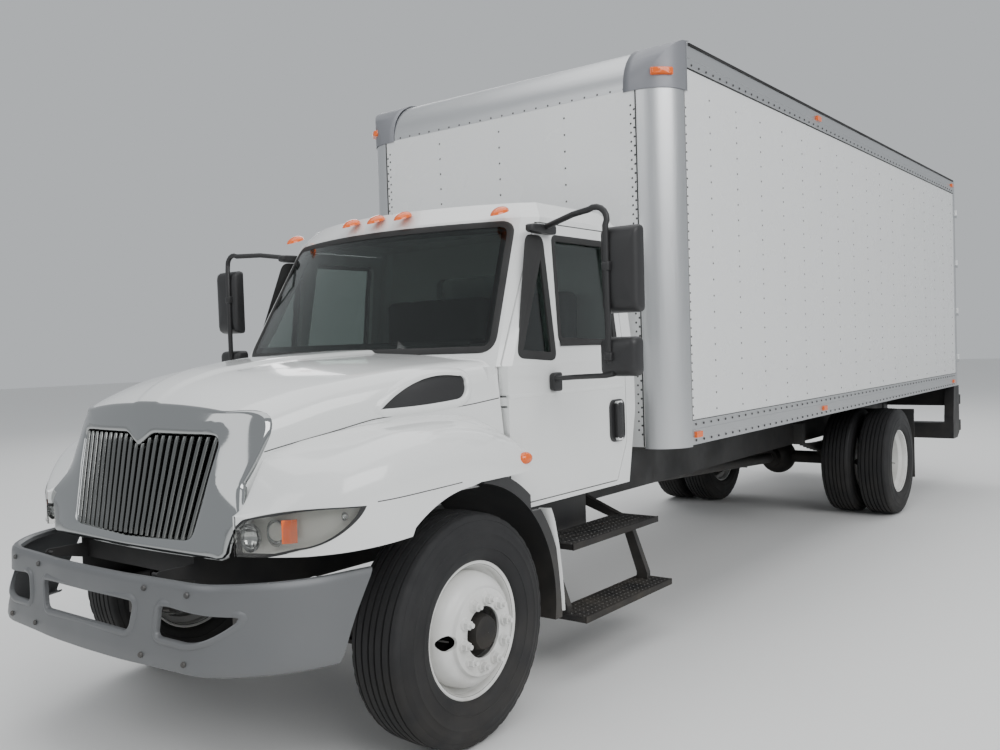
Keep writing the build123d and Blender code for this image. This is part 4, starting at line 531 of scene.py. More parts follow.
# Front of the truck in plan. Columns: z, y at the centre, at the bend and at the side
FRONT_PLAN = (
    (900, -956, -944, -922),
    (1000, -937, -920, -908),
    (1100, -917, -896, -892),
    (1160, -906, -882, -862),
    (1230, -892, -865, -808),
    (1320, -875, -843, -764),
    (1456, -848, -811, -706),
    (1560, -828, -786, -650),
)
FRONT_BEND = 480
FRONT_SIDE = 690


def front_y(x, z):
    """How far forward the curved, leaning front lies."""
    centre, bend, side = along(FRONT_PLAN, z)
    x = abs(x)
    if x < FRONT_BEND:
        return centre + (bend - centre) * (x / FRONT_BEND) ** 2
    reach = 2 * (bend - centre) / FRONT_BEND * (FRONT_SIDE - FRONT_BEND)
    s = (x - FRONT_BEND) / (FRONT_SIDE - FRONT_BEND)
    return bend + reach * s + (side - bend - reach) * s ** 1.6


def front_point(x, z, depth):
    """A point at a depth behind the front."""
    return at(x, front_y(x, z) + depth, z)


def bonnet_half(y):
    """Right half of the bonnet's section, from its crown down to its base."""
    base, shoulder, shoulder_z, crown, bulge, up = along(BONNET, y)
    drop = crown - shoulder_z
    radius = (shoulder ** 2 + drop ** 2) / (2 * drop)
    top = [(x, crown - radius + math.sqrt(radius ** 2 - x ** 2))
           for x in ((shoulder - SHOULDER_ROUND) * n / 34 for n in range(35))]
    points = []
    for x, z in top:
        edge = max(0.0, min(1.0, (bulge + BULGE_SLOPE / 2 - x) / BULGE_SLOPE))
        points.append((x, z + up * edge * edge * (3 - 2 * edge)))
    points += corner(top[-1], (shoulder, shoulder_z), (base, HOOD_BASE), 100, 10)[1:]
    last = points[-1]
    return points + [between(last, (base, HOOD_BASE), n, 12) for n in range(1, 13)]


def bonnet_front(x, z):
    """Where the bonnet starts behind the front."""
    return front_y(x, z) + BONNET_SET_BACK


def bonnet_back(x, z):
    """Where the bonnet ends in front of the cab and the windshield."""
    if z < BELT_Z:
        return HOOD_END
    return min(HOOD_END, 304 + 128 * (x / 965) ** 2 + 0.426 * (z - BELT_Z))


def settled(edge, k, y):
    """Where column k of the bonnet meets an edge, found from a guess."""
    for _ in range(8):
        y = edge(*bonnet_half(y)[k])
    return y


def bonnet_rows(count=64):
    """Rows across the bonnet from front to back."""
    columns = []
    for k in range(len(bonnet_half(0))):
        front, back = settled(bonnet_front, k, -800.0), settled(bonnet_back, k, 400.0)
        ys = [front + (back - front) * n / count for n in range(count + 1)]
        columns.append([(*bonnet_half(y)[k], y) for y in ys])
    rows = []
    for n in range(count + 1):
        half = [at(column[n][0], column[n][2], column[n][1]) for column in columns]
        rows.append([Vector((-p.x, p.y, p.z)) for p in reversed(half[1:])] + half)
    return rows


def lower_edge(y):
    """Height of the fender's lower edge: the nose, the wheel arch and the part behind it."""
    if y < -380:
        return 961 + 27 * max(0.0, (y + 772) / 392)
    if y < 0:
        return max(ARCH_FOOT, AXLE_Z + math.sqrt(ARCH_RADIUS ** 2 - y ** 2))
    return FENDER_LOW - 10 * max(0.0, 1 - y / 60)


def fender_section(y):
    """Section of the left fender, from the foot of its inner wall over the crest to its lower edge."""
    inner, half, ridge, reach, top = along(FENDER, y)
    inner_z = top + (ridge - top) * (inner - FENDER_ROOT) / (half - FENDER_ROOT)
    low = lower_edge(y)
    reach = min(reach, (half - inner) * 0.9, (ridge - low) * 0.9)
    wall = [between((inner, low), (inner, inner_z - 12), n, 6) for n in range(7)]
    lip = corner(wall[-1], (inner, inner_z), (half, ridge), min(12, reach), 3)
    crest = corner((inner, inner_z), (half, ridge), (half, low), reach, 12)
    flat = [between(lip[-1], crest[0], n, 10) for n in range(1, 10)]
    side = [between((half, crest[-1][1]), (half, low), n, 14) for n in range(1, 15)]
    return wall + lip[1:] + flat + crest + side


def fender_rows():
    """Rows along the fender, close together round its nose."""
    ys = [-908, -905, -900, -892, -880]
    ys += [-880 + (HOOD_END + 880) * n / 72 for n in range(1, 73)]
    return [[at(x, y, z) for x, z in fender_section(y)] for y in ys]


def lamp_block(grow, back=-480):
    """The left headlamp's almond outline, grown and run back through the fender's nose."""
    points = arc3((652, 950), (694, 1046), (750, 1104), 14) + arc3((750, 1104), (915, 1136), (1112, 1140), 20)
    points += arc3((1112, 1140), (1060, 1040), (952, 987), 16) + arc3((952, 987), (820, 958), (652, 950), 16)
    middle = Vector((880, 1050))
    return prism([tuple(Vector(p) + (Vector(p) - middle).normalized() * grow) for p in points], -1000, back)


VENT_PATH = arc3((-238, 1480), (-80, 1578), (205, 1609), 24) + arc3((205, 1609), (234, 1600), (238, 1570), 8) \
    + arc3((238, 1570), (226, 1520), (190, 1500), 6) + arc3((190, 1500), (0, 1486), (-238, 1480), 24)

bonnet = thickened(lofted(bonnet_rows()), BONNET_WALL)
for _, side in SIDES:
    bonnet = carved(bonnet, side_prism(VENT_PATH, side * 700, side * 1100))
bonnet = tidied(bonnet, 40)
fender_skin = thickened(lofted(fender_rows()), FENDER_WALL)
lens = tidied(carved(fender_skin, lamp_block(-3), "INTERSECT", True))
fender = tidied(carved(fender_skin, lamp_block(0), folded=True), 40)
hood_skin = merged(bonnet, fender)
HOOD_SURFACE = BVHTree.FromPolygons([vertex.co.copy() for vertex in hood_skin.vertices],
                                    [tuple(face.vertices) for face in hood_skin.polygons])
piece("bonnet", bonnet, CAB_PAINT, "hood", "cab_white", "hood")
piece("fenders", both_sides(fender), CAB_PAINT, "hood", "cab_white", "hood")
piece("headlamp_lenses", both_sides(lens), LENS, "hood", "lamp", "front_lamps")


SEAM_PROUD = 0.0004  # metres


def seam_shade_line(table, count, radius):
    """A thin dark line on the hood's left side: painted shade for the gap of a seam. table holds y and z."""
    rows = []
    for n in range(count + 1):
        y = table[0][0] + (table[-1][0] - table[0][0]) * n / count
        hit = HOOD_SURFACE.ray_cast(at(1500, y, along(table, y)[0]), Vector((-1, 0, 0)))[0]
        if hit is not None:
            rows.append([tuple(hit + Vector((SEAM_PROUD + across * radius / 1000, 0, up * radius / 1000)))
                         for across, up in ((0.4, 0), (0, 1), (-1, 0.6), (-1, -0.6), (0, -1))])
    return solid(rows)


# Paths of the dark lines along the bonnet and fender seams, as y and z; the lines, in the rubber finish, are painted
# shade for the shadow in the seam gap and groove
HOOD_SEAM = ((-860, 1308), (-694, 1353), (-481, 1399), (-318, 1434), (-250, 1444), (-44, 1455), (234, 1470),
             (440, 1490))
FENDER_SEAM = ((-545, 1150), (-300, 1158), (-70, 1164))
piece("hood_seam_shade_lines", both_sides(seam_shade_line(HOOD_SEAM, 110, 2.2), seam_shade_line(FENDER_SEAM, 50, 2.0)), RUBBER, "hood",
      "rubber")


# Grille: a wide bright surround and upright bars
def opening_half():
    """Right half of the opening, from the dip in its top edge to the middle of its lower edge."""
    points = [(0, 1356), (34, 1374)] + corner((34, 1374), (92, 1411), (300, 1411), 24, 4)
    points += corner((92, 1411), (511, 1411), (438, 996), 52, 8) + corner((511, 1411), (438, 998), (0, 982), 46, 8)
    return points + [(0, 982)]


def surround_half():
    """Right half of the outer edge, from the bonnet's crown to the middle of the lower edge."""
    edge = [bonnet_half(settled(bonnet_front, k, -800.0))[k] for k in range(len(bonnet_half(0)))]
    edge = [(x, z) for x, z in edge if z > 1215]
    foot = corner(edge[-1], (708, 1128), (748, 1108), 30, 5) + corner((708, 1128), (750, 1106), (694, 1046), 8, 3)
    foot += arc3((742, 1097), (692, 1046), (650, 950), 8) + corner((654, 962), (648, 936), (0, 933), 16, 4)
    return edge + foot + [(0, 933)]


def whole(half):
    """A closed outline in equal steps from its right half."""
    half = spaced(half, 110)
    return half + [(-x, z) for x, z in reversed(half[1:-1])]


# Columns: share of the way from the outer edge to the opening, depth behind the front
SURROUND_PROFILE = ((0, 34), (0, 16), (0.015, 8), (0.05, 3), (0.12, 0), (0.5, -3), (0.86, 0), (0.94, 3), (0.985, 8),
                    (1, 15), (1, 52), (0.9, 56), (0.1, 40), (0, 34))
edges = list(zip(whole(surround_half()), whole(opening_half())))
surround = band([[front_point(*between(outer, inner, share), depth) for outer, inner in edges]
                 for share, depth in SURROUND_PROFILE], 60)
piece("grille_frame", surround, CHROME, "hood", "chrome", "grille_surround")

BAR_COUNT = 22
BAR_TIP = 12
BAR_STEPS = 24
# Columns: across the bar, depth behind the front
BAR_PROFILE = ((-10.5, 50), (-10.5, 16), (-7.5, 9), (-3, 6.5), (3, 6.5), (7.5, 9), (10.5, 16), (10.5, 50))


def bar(number):
    """One upright of the grille, leaning outwards to its rounded top."""
    place = (number - (BAR_COUNT - 1) / 2) / (BAR_COUNT / 2)
    low, high = place * 438, place * 511
    top = 1404 - max(0.0, 50 * (1 - abs(high) / 92))
    rows = []
    for n in range(BAR_STEPS + 1):
        t = n / BAR_STEPS
        z = 990 + (top - 990) * t
        x = low + (high - low) * t
        end = min(z - 984, top + 4 - z)
        shrink = 1 if end > BAR_TIP else 0.35 + 0.65 * math.sqrt(max(0.0, 1 - (1 - end / BAR_TIP) ** 2))
        rows.append([at(x + across * shrink, front_y(x, z) + depth + (1 - shrink) * BAR_TIP, z)
                     for across, depth in BAR_PROFILE])
    return solid(rows)


# The uprights' dark colour is painted shade for the gaps between them
bars = tidied(merged(*[bar(number) for number in range(BAR_COUNT)]))
piece("grille_uprights", bars, BAR_CHROME_PAINTED_SHADE, "hood", "chrome", "grille_bars")
screen = tidied(lofted([[front_point(x, z, 52) for x in range(-520, 521, 40)] for z in (985, 1130, 1280, 1412)]))
piece("grille_screen", thickened(screen, 4), BLACK_PLASTIC, "hood", "black_plastic", "grille_bars")


# Headlamps: a rim, a hazed housing, two bright bowls, a small lamp and an amber block behind each lens
def bowl(x, y, z, radius, deep, squash=1.0):
    """A round reflector open to the front, closed behind."""
    rings = [(radius * math.cos(a), radius * squash * math.cos(a), deep * math.sin(a))
             for a in (math.pi / 2 * n / 10 for n in range(10))] + [(0.5, 0.5, deep)]
    return thickened(lofted([[at(a, y + back, b) for a, b in ellipse(x, z, half_x, half_z, 40)]
                             for half_x, half_z, back in rings], closed=True), 2)


housing = fender_skin.copy()
housing.transform(Matrix.Translation((-0.030, 0.062, 0)))
housing = tidied(carved(housing, lamp_block(4, -380), "INTERSECT", True))
rim = tidied(carved(carved(fender_skin, lamp_block(-2), "INTERSECT", True), lamp_block(-11), folded=True))
rim.transform(Matrix.Translation((0, -0.0015, 0)))
piece("headlamp_rims", both_sides(rim), BLACK_PLASTIC, "hood", "black_plastic", "front_lamps")
piece("headlamp_housings", both_sides(housing), HAZE, "hood", "chrome", "front_lamps")
bowls = both_sides(bowl(752, -870, 1030, 54, 46, 1.05), bowl(836, -812, 1046, 50, 42, 1.05),
                   bowl(1040, -640, 1100, 17, 14))
piece("headlamp_bowls", tidied(bowls), CHROME, "hood", "chrome", "front_lamps")
amber = solid([[at(x, y, z) for x, y in ((892, -826), (918, -800), (924, -776), (896, -800))]
               for z in (1012, 1036, 1072, 1102)], 30)
piece("turn_reflectors", both_sides(amber), AMBER, "hood", "lamp", "front_lamps")


# Vents in the bonnet's sides: a black screen in a raised frame
def bonnet_x(y, z):
    """Half width of the bonnet at a height."""
    points = bonnet_half(y)
    for (ax, az), (bx, bz) in zip(points[30:], points[31:]):
        if bz <= z <= az:
            return ax + (bx - ax) * (az - z) / max(az - bz, 1e-6)
    return points[-1][0]


# Columns: outwards from the outline, out from the bonnet
VENT_FRAME = ((-2, -10), (-2, 2), (5, 7), (15, 9), (25, 6), (33, 1), (37, -2))
vent_frame = band([[at(bonnet_x(y, z) + out, y, z) for y, z in ring_path(VENT_PATH, grow)]
                   for grow, out in VENT_FRAME])
piece("vent_frames", both_sides(vent_frame), CAB_PAINT, "hood", "cab_white", "vent_screens")
vent_mesh = thickened(lofted([[at(bonnet_x(y, z) - 9, y, z) for z in range(1450, 1641, 10)]
                              for y in range(-250, 251, 20)]), 3)
vent_mesh = tidied(carved(vent_mesh, side_prism(ring_path(VENT_PATH, 3), 600, 1100), "INTERSECT"))
piece("vent_meshes", both_sides(vent_mesh), BLACK_PLASTIC, "hood", "black_plastic", "vent_screens")

# Front bumper: a bulging shell round the front with three openings in raised rims
# Columns: x, y along the upper edge, from the middle to the left end
BUMPER_PLAN = ((0, -1130), (250, -1124), (410, -1110), (560, -1098), (680, -1087), (762, -1062), (853, -996),
               (951, -891), (1022, -759), (1062, -590), (1076, -528), (1079, -500))
# Columns: z, how far the shell stands in front of the upper edge's plan
BUMPER_PROFILE = ((862, -46), (878, -40), (886, -26), (884, -10), (874, -2), (855, 1), (800, 3), (727, 6), (660, 14),
                  (610, 24), (575, 28), (556, 24), (547, 10), (548, -12), (556, -20))


def plan_run():
    """The plan as rows of distance, x and y."""
    rows, run = [], 0.0
    for n, point in enumerate(BUMPER_PLAN):
        run += math.dist(point, BUMPER_PLAN[n - 1]) if n else 0
        rows.append((run, *point))
    return rows


BUMPER_RUN = plan_run()
BUMPER_END = BUMPER_RUN[-1][0]


def bumper_point(share, z, proud):
    """A point on the shell, share going from -1 at the right end to 1 at the left. The ends lean."""
    end_y = -528 - 180 * (886 - z) / 341
    reach = next(run for run in (BUMPER_END - step for step in range(2000)) if along(BUMPER_RUN, run)[1] <= end_y)
    run = abs(share) * reach
    x, y = along(BUMPER_RUN, run)
    ahead, back = along(BUMPER_RUN, min(run + 4, BUMPER_END)), along(BUMPER_RUN, max(run - 4, 0))
    turn = Vector((ahead[0] - back[0], ahead[1] - back[1])).normalized()
    return at(math.copysign(x + turn.y * proud, share), y - turn.x * proud, z)


def bumper_face(x, z):
    """How far forward the shell lies at x and z."""
    proud = along(tuple((-height, out) for height, out in BUMPER_PROFILE[4:12]), -z)[0]
    return along(BUMPER_PLAN, abs(x))[0] - proud


shell = thickened(lofted([[bumper_point(n / 60, z, proud) for n in range(-60, 61)] for z, proud in BUMPER_PROFILE]), 7)
MIDDLE_OPENING = corner((-349, 790), (349, 790), (320, 668), 30, 6) \
    + corner((349, 790), (320, 668), (-320, 668), 34, 6) + corner((320, 668), (-320, 668), (-349, 790), 34, 6) \
    + corner((-320, 668), (-349, 790), (349, 790), 30, 6)
OUTER_OPENING = corner((482, 671), (500, 793), (858, 768), 30, 6) + corner((500, 793), (858, 768), (800, 715), 16, 5) \
    + arc3((846, 752), (764, 694), (600, 668), 16) + corner((560, 668), (482, 668), (500, 793), 34, 6)
# Columns: inwards from the outline, out from the shell
RIM = ((1, -14), (1, 4), (-4, 8), (-11, 9), (-19, 6), (-26, -1))
rims = []
for opening, turn in ((MIDDLE_OPENING, 1), (OUTER_OPENING, 1), ([(-x, z) for x, z in OUTER_OPENING], -1)):
    shell = carved(shell, prism(opening, -1250, -700))
    rims.append(band([[at(x, bumper_face(x, z) - out, z) for x, z in ring_path(opening, -turn * grow)]
                      for grow, out in RIM]))
piece("bumper_shell", tidied(shell, 35), BUMPER_PAINT, "chassis", "bumper_grey", "front_bumper")
piece("bumper_rims", merged(*rims), BUMPER_PAINT, "chassis", "bumper_grey", "front_bumper")


# Fasteners: one tree grows rivets, bolts, nuts and tread studs on scattered points
def fastener_tree():
    """Tapered studs on every point, standing along its facing."""
    tree = bpy.data.node_groups.new("fasteners", "GeometryNodeTree")
    tree.interface.new_socket("Points", in_out="INPUT", socket_type="NodeSocketGeometry")
    for name, kind, value in (("Radius", "Float", 0.006), ("Height", "Float", 0.003), ("Taper", "Float", 0.6),
                              ("Sides", "Int", 8), ("Spread", "Float", 0.04), ("Seed", "Int", 3)):
        tree.interface.new_socket(name, in_out="INPUT", socket_type="NodeSocket" + kind).default_value = value
    tree.interface.new_socket("Material", in_out="INPUT", socket_type="NodeSocketMaterial")
    tree.interface.new_socket("Studs", in_out="OUTPUT", socket_type="NodeSocketGeometry")
    given, out = add(tree, "NodeGroupInput"), add(tree, "NodeGroupOutput")
    cone = add(tree, "GeometryNodeMeshCone")
    top = add(tree, "ShaderNodeMath", operation="MULTIPLY")
    facing = add(tree, "GeometryNodeInputNamedAttribute", data_type="FLOAT_VECTOR", Name="facing")
    turn = add(tree, "FunctionNodeAlignRotationToVector", axis="Z")
    smallest, largest = add(tree, "ShaderNodeMath", operation="SUBTRACT"), add(tree, "ShaderNodeMath", operation="ADD")
    smallest.inputs[0].default_value = largest.inputs[0].default_value = 1
    size = add(tree, "FunctionNodeRandomValue")
    spread = add(tree, "GeometryNodeInstanceOnPoints")
    real, paint = add(tree, "GeometryNodeRealizeInstances"), add(tree, "GeometryNodeSetMaterial")
    join(tree, (given, "Sides", cone, "Vertices"), (given, "Radius", cone, "Radius Bottom"),
         (given, "Radius", top, 0), (given, "Taper", top, 1), (top, 0, cone, "Radius Top"),
         (given, "Height", cone, "Depth"), (facing, "Attribute", turn, "Vector"), (given, "Spread", smallest, 1),
         (given, "Spread", largest, 1), (smallest, 0, size, 2), (largest, 0, size, 3), (given, "Seed", size, "Seed"),
         (given, "Points", spread, "Points"), (cone, "Mesh", spread, "Instance"),
         (turn, "Rotation", spread, "Rotation"), (size, 1, spread, "Scale"), (spread, 0, real, 0),
         (real, 0, paint, "Geometry"), (given, "Material", paint, "Material"), (paint, 0, out, 0))
    return tree


FASTENERS = fastener_tree()


def fastened(places, material, **sizes):
    """A mesh of studs at (point, facing) pairs, with the tree's sizes in metres."""
    mesh = bpy.data.meshes.new("places")
    mesh.from_pydata([point for point, _ in places], [], [])
    facing = mesh.attributes.new("facing", "FLOAT_VECTOR", "POINT")
    for n, (_, way) in enumerate(places):
        facing.data[n].vector = way
    bench = shown("places", mesh)
    grow = bench.modifiers.new("fasteners", "NODES")
    grow.node_group = FASTENERS
    for socket in FASTENERS.interface.items_tree:
        if socket.in_out == "INPUT" and socket.name in sizes:
            grow[socket.identifier] = sizes[socket.name]
        elif socket.name == "Material":
            grow[socket.identifier] = material
    return tidied(evaluated(bench), 40)


# Wheels and tyres, turned about their axle. Profiles are (offset outboard, radius)
WHEEL_RIM = ((-117.5, 298.5), (-119, 293), (-112, 284), (-104, 278), (-74, 277), (-46, 250), (46, 250), (74, 277),
             (104, 278), (112, 283), (118, 289), (120, 295), (117.5, 299), (111, 299), (106, 293), (104, 286),
             (74, 285), (46, 258), (-46, 258), (-74, 285), (-104, 286), (-106, 293), (-111, 299), (-117.5, 298.5))
DISC = ((37, 252), (70, 251), (100, 247), (122, 239), (138, 226), (148, 209), (153, 196), (158, 192), (166, 190),
        (171.5, 186), (172, 180), (172, 114), (170, 110), (158, 110), (158, 180), (140, 196), (130, 215), (112, 230),
        (90, 237), (37, 242), (37, 252))
FRONT_HUB = ((134, 109), (128, 96), (140, 80), (168, 74), (184, 70), (190, 58), (194, 40), (196, 0.5))
REAR_HUB = ((-175, 112), (-120, 108), (-104, 96), (-60, 84), (-46, 78), (-42, 60), (-38, 0.5))
FRONT_DRUM = ((-60, 205), (-60, 212), (20, 212), (30, 190), (60, 60))
REAR_DRUM = ((-440, 205), (-440, 212), (-240, 212), (-200, 120))
SIDEWALL = ((112, 282), (118, 300), (126, 305), (135, 314), (141, 330), (144, 345), (146, 352), (149, 354), (149, 357),
            (146.5, 360), (147.5, 398), (147, 412), (148.5, 414), (148.5, 418), (146.5, 420), (145, 432), (141.5, 446),
            (142, 448), (141, 452), (138, 458), (134, 468), (130, 474), (131, 477), (128, 484), (125, 492), (119, 499))
TREAD_HALF = ((112, 502), (98, 505), (96, 496), (90, 496), (88, 506), (60, 507.5), (58, 495), (51, 495), (49, 508),
              (22, 509), (20, 496), (13, 496), (11, 509.5), (0, 510))
TYRE_INSIDE = ((-104, 285.5), (-120, 380), (-100, 470), (0, 480), (100, 470), (120, 380), (104, 285.5), (112, 282))
SHOULDER_CUT = 3.5
HAND_HOLE_PLACE = 212
HAND_HOLE_RADIUS = 33
STUD_CIRCLE_RADIUS = 142.9
# Radius and height in metres, taper and sides of a washer, a nut and the end of its stud
NUT = ((0.029, 0.010, 0.86, 20), (0.0225, 0.030, 0.9, 6), (0.012, 0.046, 0.85, 12))


def axle_point(x, y, side, radius, angle):
    """A point round the axle, its angle counted from the top."""
    return at(side * x, y + radius * math.sin(angle), AXLE_Z + radius * math.cos(angle))


def turned(profile, x, y, side, count=96):
    """A profile turned about the axle at x and y."""
    return lofted([[axle_point(x + offset, y, side, radius, a) for a in turns(count)] for offset, radius in profile],
                  closed=True)


def tyre(x, y, side):
    """A worn road tyre with rings on its sidewalls, grooves round the tread and cut shoulders."""
    half = SIDEWALL + TREAD_HALF
    rows = []
    for offset, radius in half + tuple((-a, r) for a, r in reversed(half[:-1])) + TYRE_INSIDE:
        cut = SHOULDER_CUT if 486 < radius < 503 and abs(offset) > 111 else 0
        rows.append([axle_point(x + offset, y, side, radius - (cut if m % 4 == 0 else 0), a)
                     for m, a in enumerate(turns(160))])
    return band(rows, 40)


for end, x, y in (("front", FRONT_TYRE_X, 0), ("rear", REAR_TYRE_X, REAR_AXLE)):
    front = end == "front"
    middles = ((x, 1),) if front else ((x, -1), (x - DUAL_SPACING, 1))
    for name, side in SIDES:
        wheel = f"wheel_{end}_{name}"
        piece(f"tread_{end}_{name}", merged(*[tyre(middle, y, side) for middle, _ in middles]), TYRE_RUBBER, wheel,
              "tyre", f"tyre_{end}_{name}")
        parts = []
        for middle, way in middles:
            disc = turned([(way * offset, radius) for offset, radius in DISC], middle, y, side)
            for hole in (-HAND_HOLE_PLACE, HAND_HOLE_PLACE):
                cutter = ellipse(y + hole, AXLE_Z, HAND_HOLE_RADIUS, HAND_HOLE_RADIUS, 24)
                disc = carved(disc, side_prism(cutter, side * (middle - 200), side * (middle + 200)))
            parts += [tidied(disc, 40), tidied(turned(WHEEL_RIM, middle, y, side), 40)]
        piece(f"disc_wheel_{end}_{name}", merged(*parts), WHEEL_PAINT, wheel, "wheel_white", wheel)
        hub = [tidied(turned(profile, x, y, side, 48), 35)
               for profile in ((FRONT_HUB, FRONT_DRUM) if front else (REAR_HUB, REAR_DRUM))]
        piece(f"hub_{end}_{name}", merged(*hub), CAST_IRON, wheel, "cast_iron", wheel)
        places = [(axle_point(x + 172 if front else x - 160, y, side, STUD_CIRCLE_RADIUS, a), (side, 0, 0))
                  for a in turns(10, 0.25)]
        nuts = merged(*[fastened(places, WHEEL_PAINT, Radius=radius, Height=height, Taper=taper, Sides=sides)
                        for radius, height, taper, sides in NUT])
        piece(f"wheel_nuts_{end}_{name}", nuts, WHEEL_PAINT, wheel, "wheel_white", wheel)
        valve = fastened([(at(side * (x + 40), y - 232, 520), (side * 0.8, 0.4, -0.1))], STEEL, Radius=0.006,
                         Height=0.1, Taper=0.6, Sides=10)
        piece(f"valve_{end}_{name}", valve, STEEL, wheel, "steel")


# Cab: rubbers round the glass, handles, mirrors and roof lamps
def screen_point(x, z, out):
    """A point out from the leaning, curved windshield."""
    t = (z - BELT_Z) / 760
    return at(x, 310 + 324 * t + (128 + 76 * t) * (x / (965 - 115 * t)) ** 2 - out, z)


def side_point(y, z, out):
    """A point out from the cab's side, which leans inwards above the belt."""
    return at(CAB_HALF - 91 * max(0.0, (z - BELT_Z) / 760) + out, y, z)


def on_doors(*parts):
    """Pieces on the left door and their mirrored copies on the right one, in place of each door's own nodes."""
    for name, side in SIDES:
        for kind, mesh, material, slot, *replaced in parts:
            piece(f"{kind}_{name}", mesh if side > 0 else mirrored(mesh), material, f"door_{name}", slot,
                  *[f"{node}_{name}" for node in replaced])


# Columns of each bead: outwards from the edge of the glass, out from the cab
SCREEN_BEAD = ((-16, -2), (-14, 3), (-6, 6), (8, 7), (17, 5), (20, -2))
QUARTER_BEAD = ((-30, -8), (-28, 1), (-14, 3), (6, 4), (14, 2), (16, -4))
PANE_BEAD = ((-22, -10), (-20, 0), (-8, 3), (6, 4), (13, 2), (15, -4))
glass_edge = divided(rounded([(-815, 2368), (815, 2368), (915, 1725), (-915, 1725)], 62), 40)
piece("windshield_rubber", band([[screen_point(x, z, out) for x, z in ring_path(glass_edge, grow)]
                                 for grow, out in SCREEN_BEAD]), RUBBER, "chassis", "rubber")
border = band([[screen_point(x, z, -9) for x, z in ring_path(glass_edge, grow)] for grow in (4, -20, -46)], 35)
piece("windshield_border", thickened(border, 2), BLACK_PLASTIC, "chassis", "black_plastic")

quarter = rounded([(885, 2290), (872, 1668), (560, 1690)], 44)
pane = divided(rounded([(990, 2300), (1500, 2300), (1500, 1735), (935, 1752)], 32), 40)
rubbers = [band([[side_point(y, z, out) for y, z in ring_path(path, grow)] for grow, out in bead])
           for path, bead in ((divided(quarter, 40), QUARTER_BEAD), (pane, PANE_BEAD))]
wide_edge = spaced(divided(rounded([(898, 2300), (884, 1656), (548, 1680), (752, 2300)], 44), 20), 120)
edges = list(zip(wide_edge, spaced(divided(quarter, 20), 120)))
rubbers.append(tidied(lofted([[side_point(y, z, out) for y in range(930, 1508, 16)]
                              for z, out in ((1728, -6), (1728, 6), (1740, 9), (1752, 6), (1756, -6))])))
rubbers.append(band([[side_point(*between(outer, inner, share), out) for outer, inner in edges]
                     for share, out in ((0, -3), (0, 1), (0.08, 3), (0.9, 3), (1, 1), (1, -6))]))
handle = rounded([(1384, 1420), (1546, 1420), (1546, 1183), (1384, 1183)], 52, 8)
lever = rounded([(1436, 1404), (1494, 1404), (1494, 1200), (1436, 1200)], 24, 6)
handles = [solid([[at(CAB_HALF + out, y, z) for y, z in ring_path(path, grow)] for grow, out in steps])
           for path, steps in ((handle, ((0, -4), (0, 5), (-5, 9), (-12, 8), (-20, 2.5), (-24, 1.5))),
                               (lever, ((2, -4), (2, 20), (-2, 26), (-8, 29), (-20, 30))))]
crease = tidied(lofted([[at(x, y, z) for y in range(466, 1570, 24)]
                        for x, z in ((1015, 1506), (1017.5, 1500), (1019.5, 1490), (1018, 1484), (1015, 1478))]))
on_doors(("window_rubbers", merged(*rubbers), RUBBER, "rubber"),
         ("door_handle", merged(*handles), BLACK_PLASTIC, "black_plastic"),
         ("door_crease", crease, CAB_PAINT, "cab_white"))


def mirror_head(x, y, z, half_x, half_z, deep, reach):
    """A moulded shell, bulging forwards, and its glass facing back."""
    outline = divided(rounded([(x - half_x, z + half_z), (x + half_x, z + half_z), (x + half_x * 0.97, z - half_z),
                               (x - half_x, z - half_z)], reach, 8), 30)
    back = deep * 0.5
    shell = ((back, 0.94), (back, 1), (deep * 0.3, 1.01), (-deep * 0.05, 0.985), (-deep * 0.28, 0.93),
             (-deep * 0.4, 0.84), (-deep * 0.47, 0.66), (-back, 0.3), (-back, 0.02))
    pane = ((back - 1, 0.9), (back + 2, 0.89), (back + 3, 0.6), (back + 3, 0.02))
    return [solid([[at(x + (a - x) * size, y + depth, z + (b - z) * size) for a, b in outline]
                   for depth, size in steps], 45) for steps in (shell, pane)]


def tube(points, radius, count=14):
    """A round bar through points."""
    rows = []
    for n, p in enumerate(points):
        a, b = points[max(n - 1, 0)], points[min(n + 1, len(points) - 1)]
        run = (Vector(b) - Vector(a)).normalized()
        out = run.cross(Vector((0, 1, 0.2))).normalized()
        over = run.cross(out)
        rows.append([tuple(at(*p) + (out * math.cos(t) + over * math.sin(t)) * radius / 1000) for t in turns(count)])
    return solid(rows)


main, main_glass = mirror_head(1485, 752, 2081, 101, 203, 78, 26)
wide, wide_glass = mirror_head(1468, 752, 1670, 100, 93, 84, 34)
loop = [(940, 880, 2330), (1010, 860, 2344), (1200, 790, 2372)] \
    + [(x, 712, z) for x, z in arc3((1340, 2372), (1418, 2362), (1431, 2290), 7)] \
    + [(1431, 706, 2290), (1431, 706, 2000), (1431, 706, 1720), (1431, 720, 1640)]
arm = [(1020, 832, 1556), (1060, 818, 1566), (1200, 780, 1574), (1400, 725, 1582), (1450, 720, 1590)]
feet_and_clamps = [mirror_head(*sizes)[0] for sizes in (
    (958, 850, 2330, 30, 24, 210, 14), (1034, 838, 1548, 20, 48, 66, 14), (1431, 708, 2096, 22, 24, 40, 9),
    (1431, 708, 1672, 22, 22, 40, 9))]
black = merged(main, wide, tube(loop, 15), tube(arm, 13), *feet_and_clamps)
on_doors(("mirror_shells", black, BLACK_PLASTIC, "black_plastic", "mirror"),
         ("mirror_glasses", merged(main_glass, wide_glass), CHROME, "chrome", "mirror"))


def blister(x, y, z, half_x, half_y, high, lean):
    """A low rounded lamp standing on a leaning surface."""
    rows = []
    for n in range(8):
        a = math.pi / 2 * n / 7.2
        rows.append([at(x + half_x * math.cos(a) * math.cos(t), y + half_y * math.cos(a) * math.sin(t),
                        z + high * math.sin(a) + lean * half_y * math.cos(a) * math.sin(t)) for t in turns(28)])
    return solid(rows)


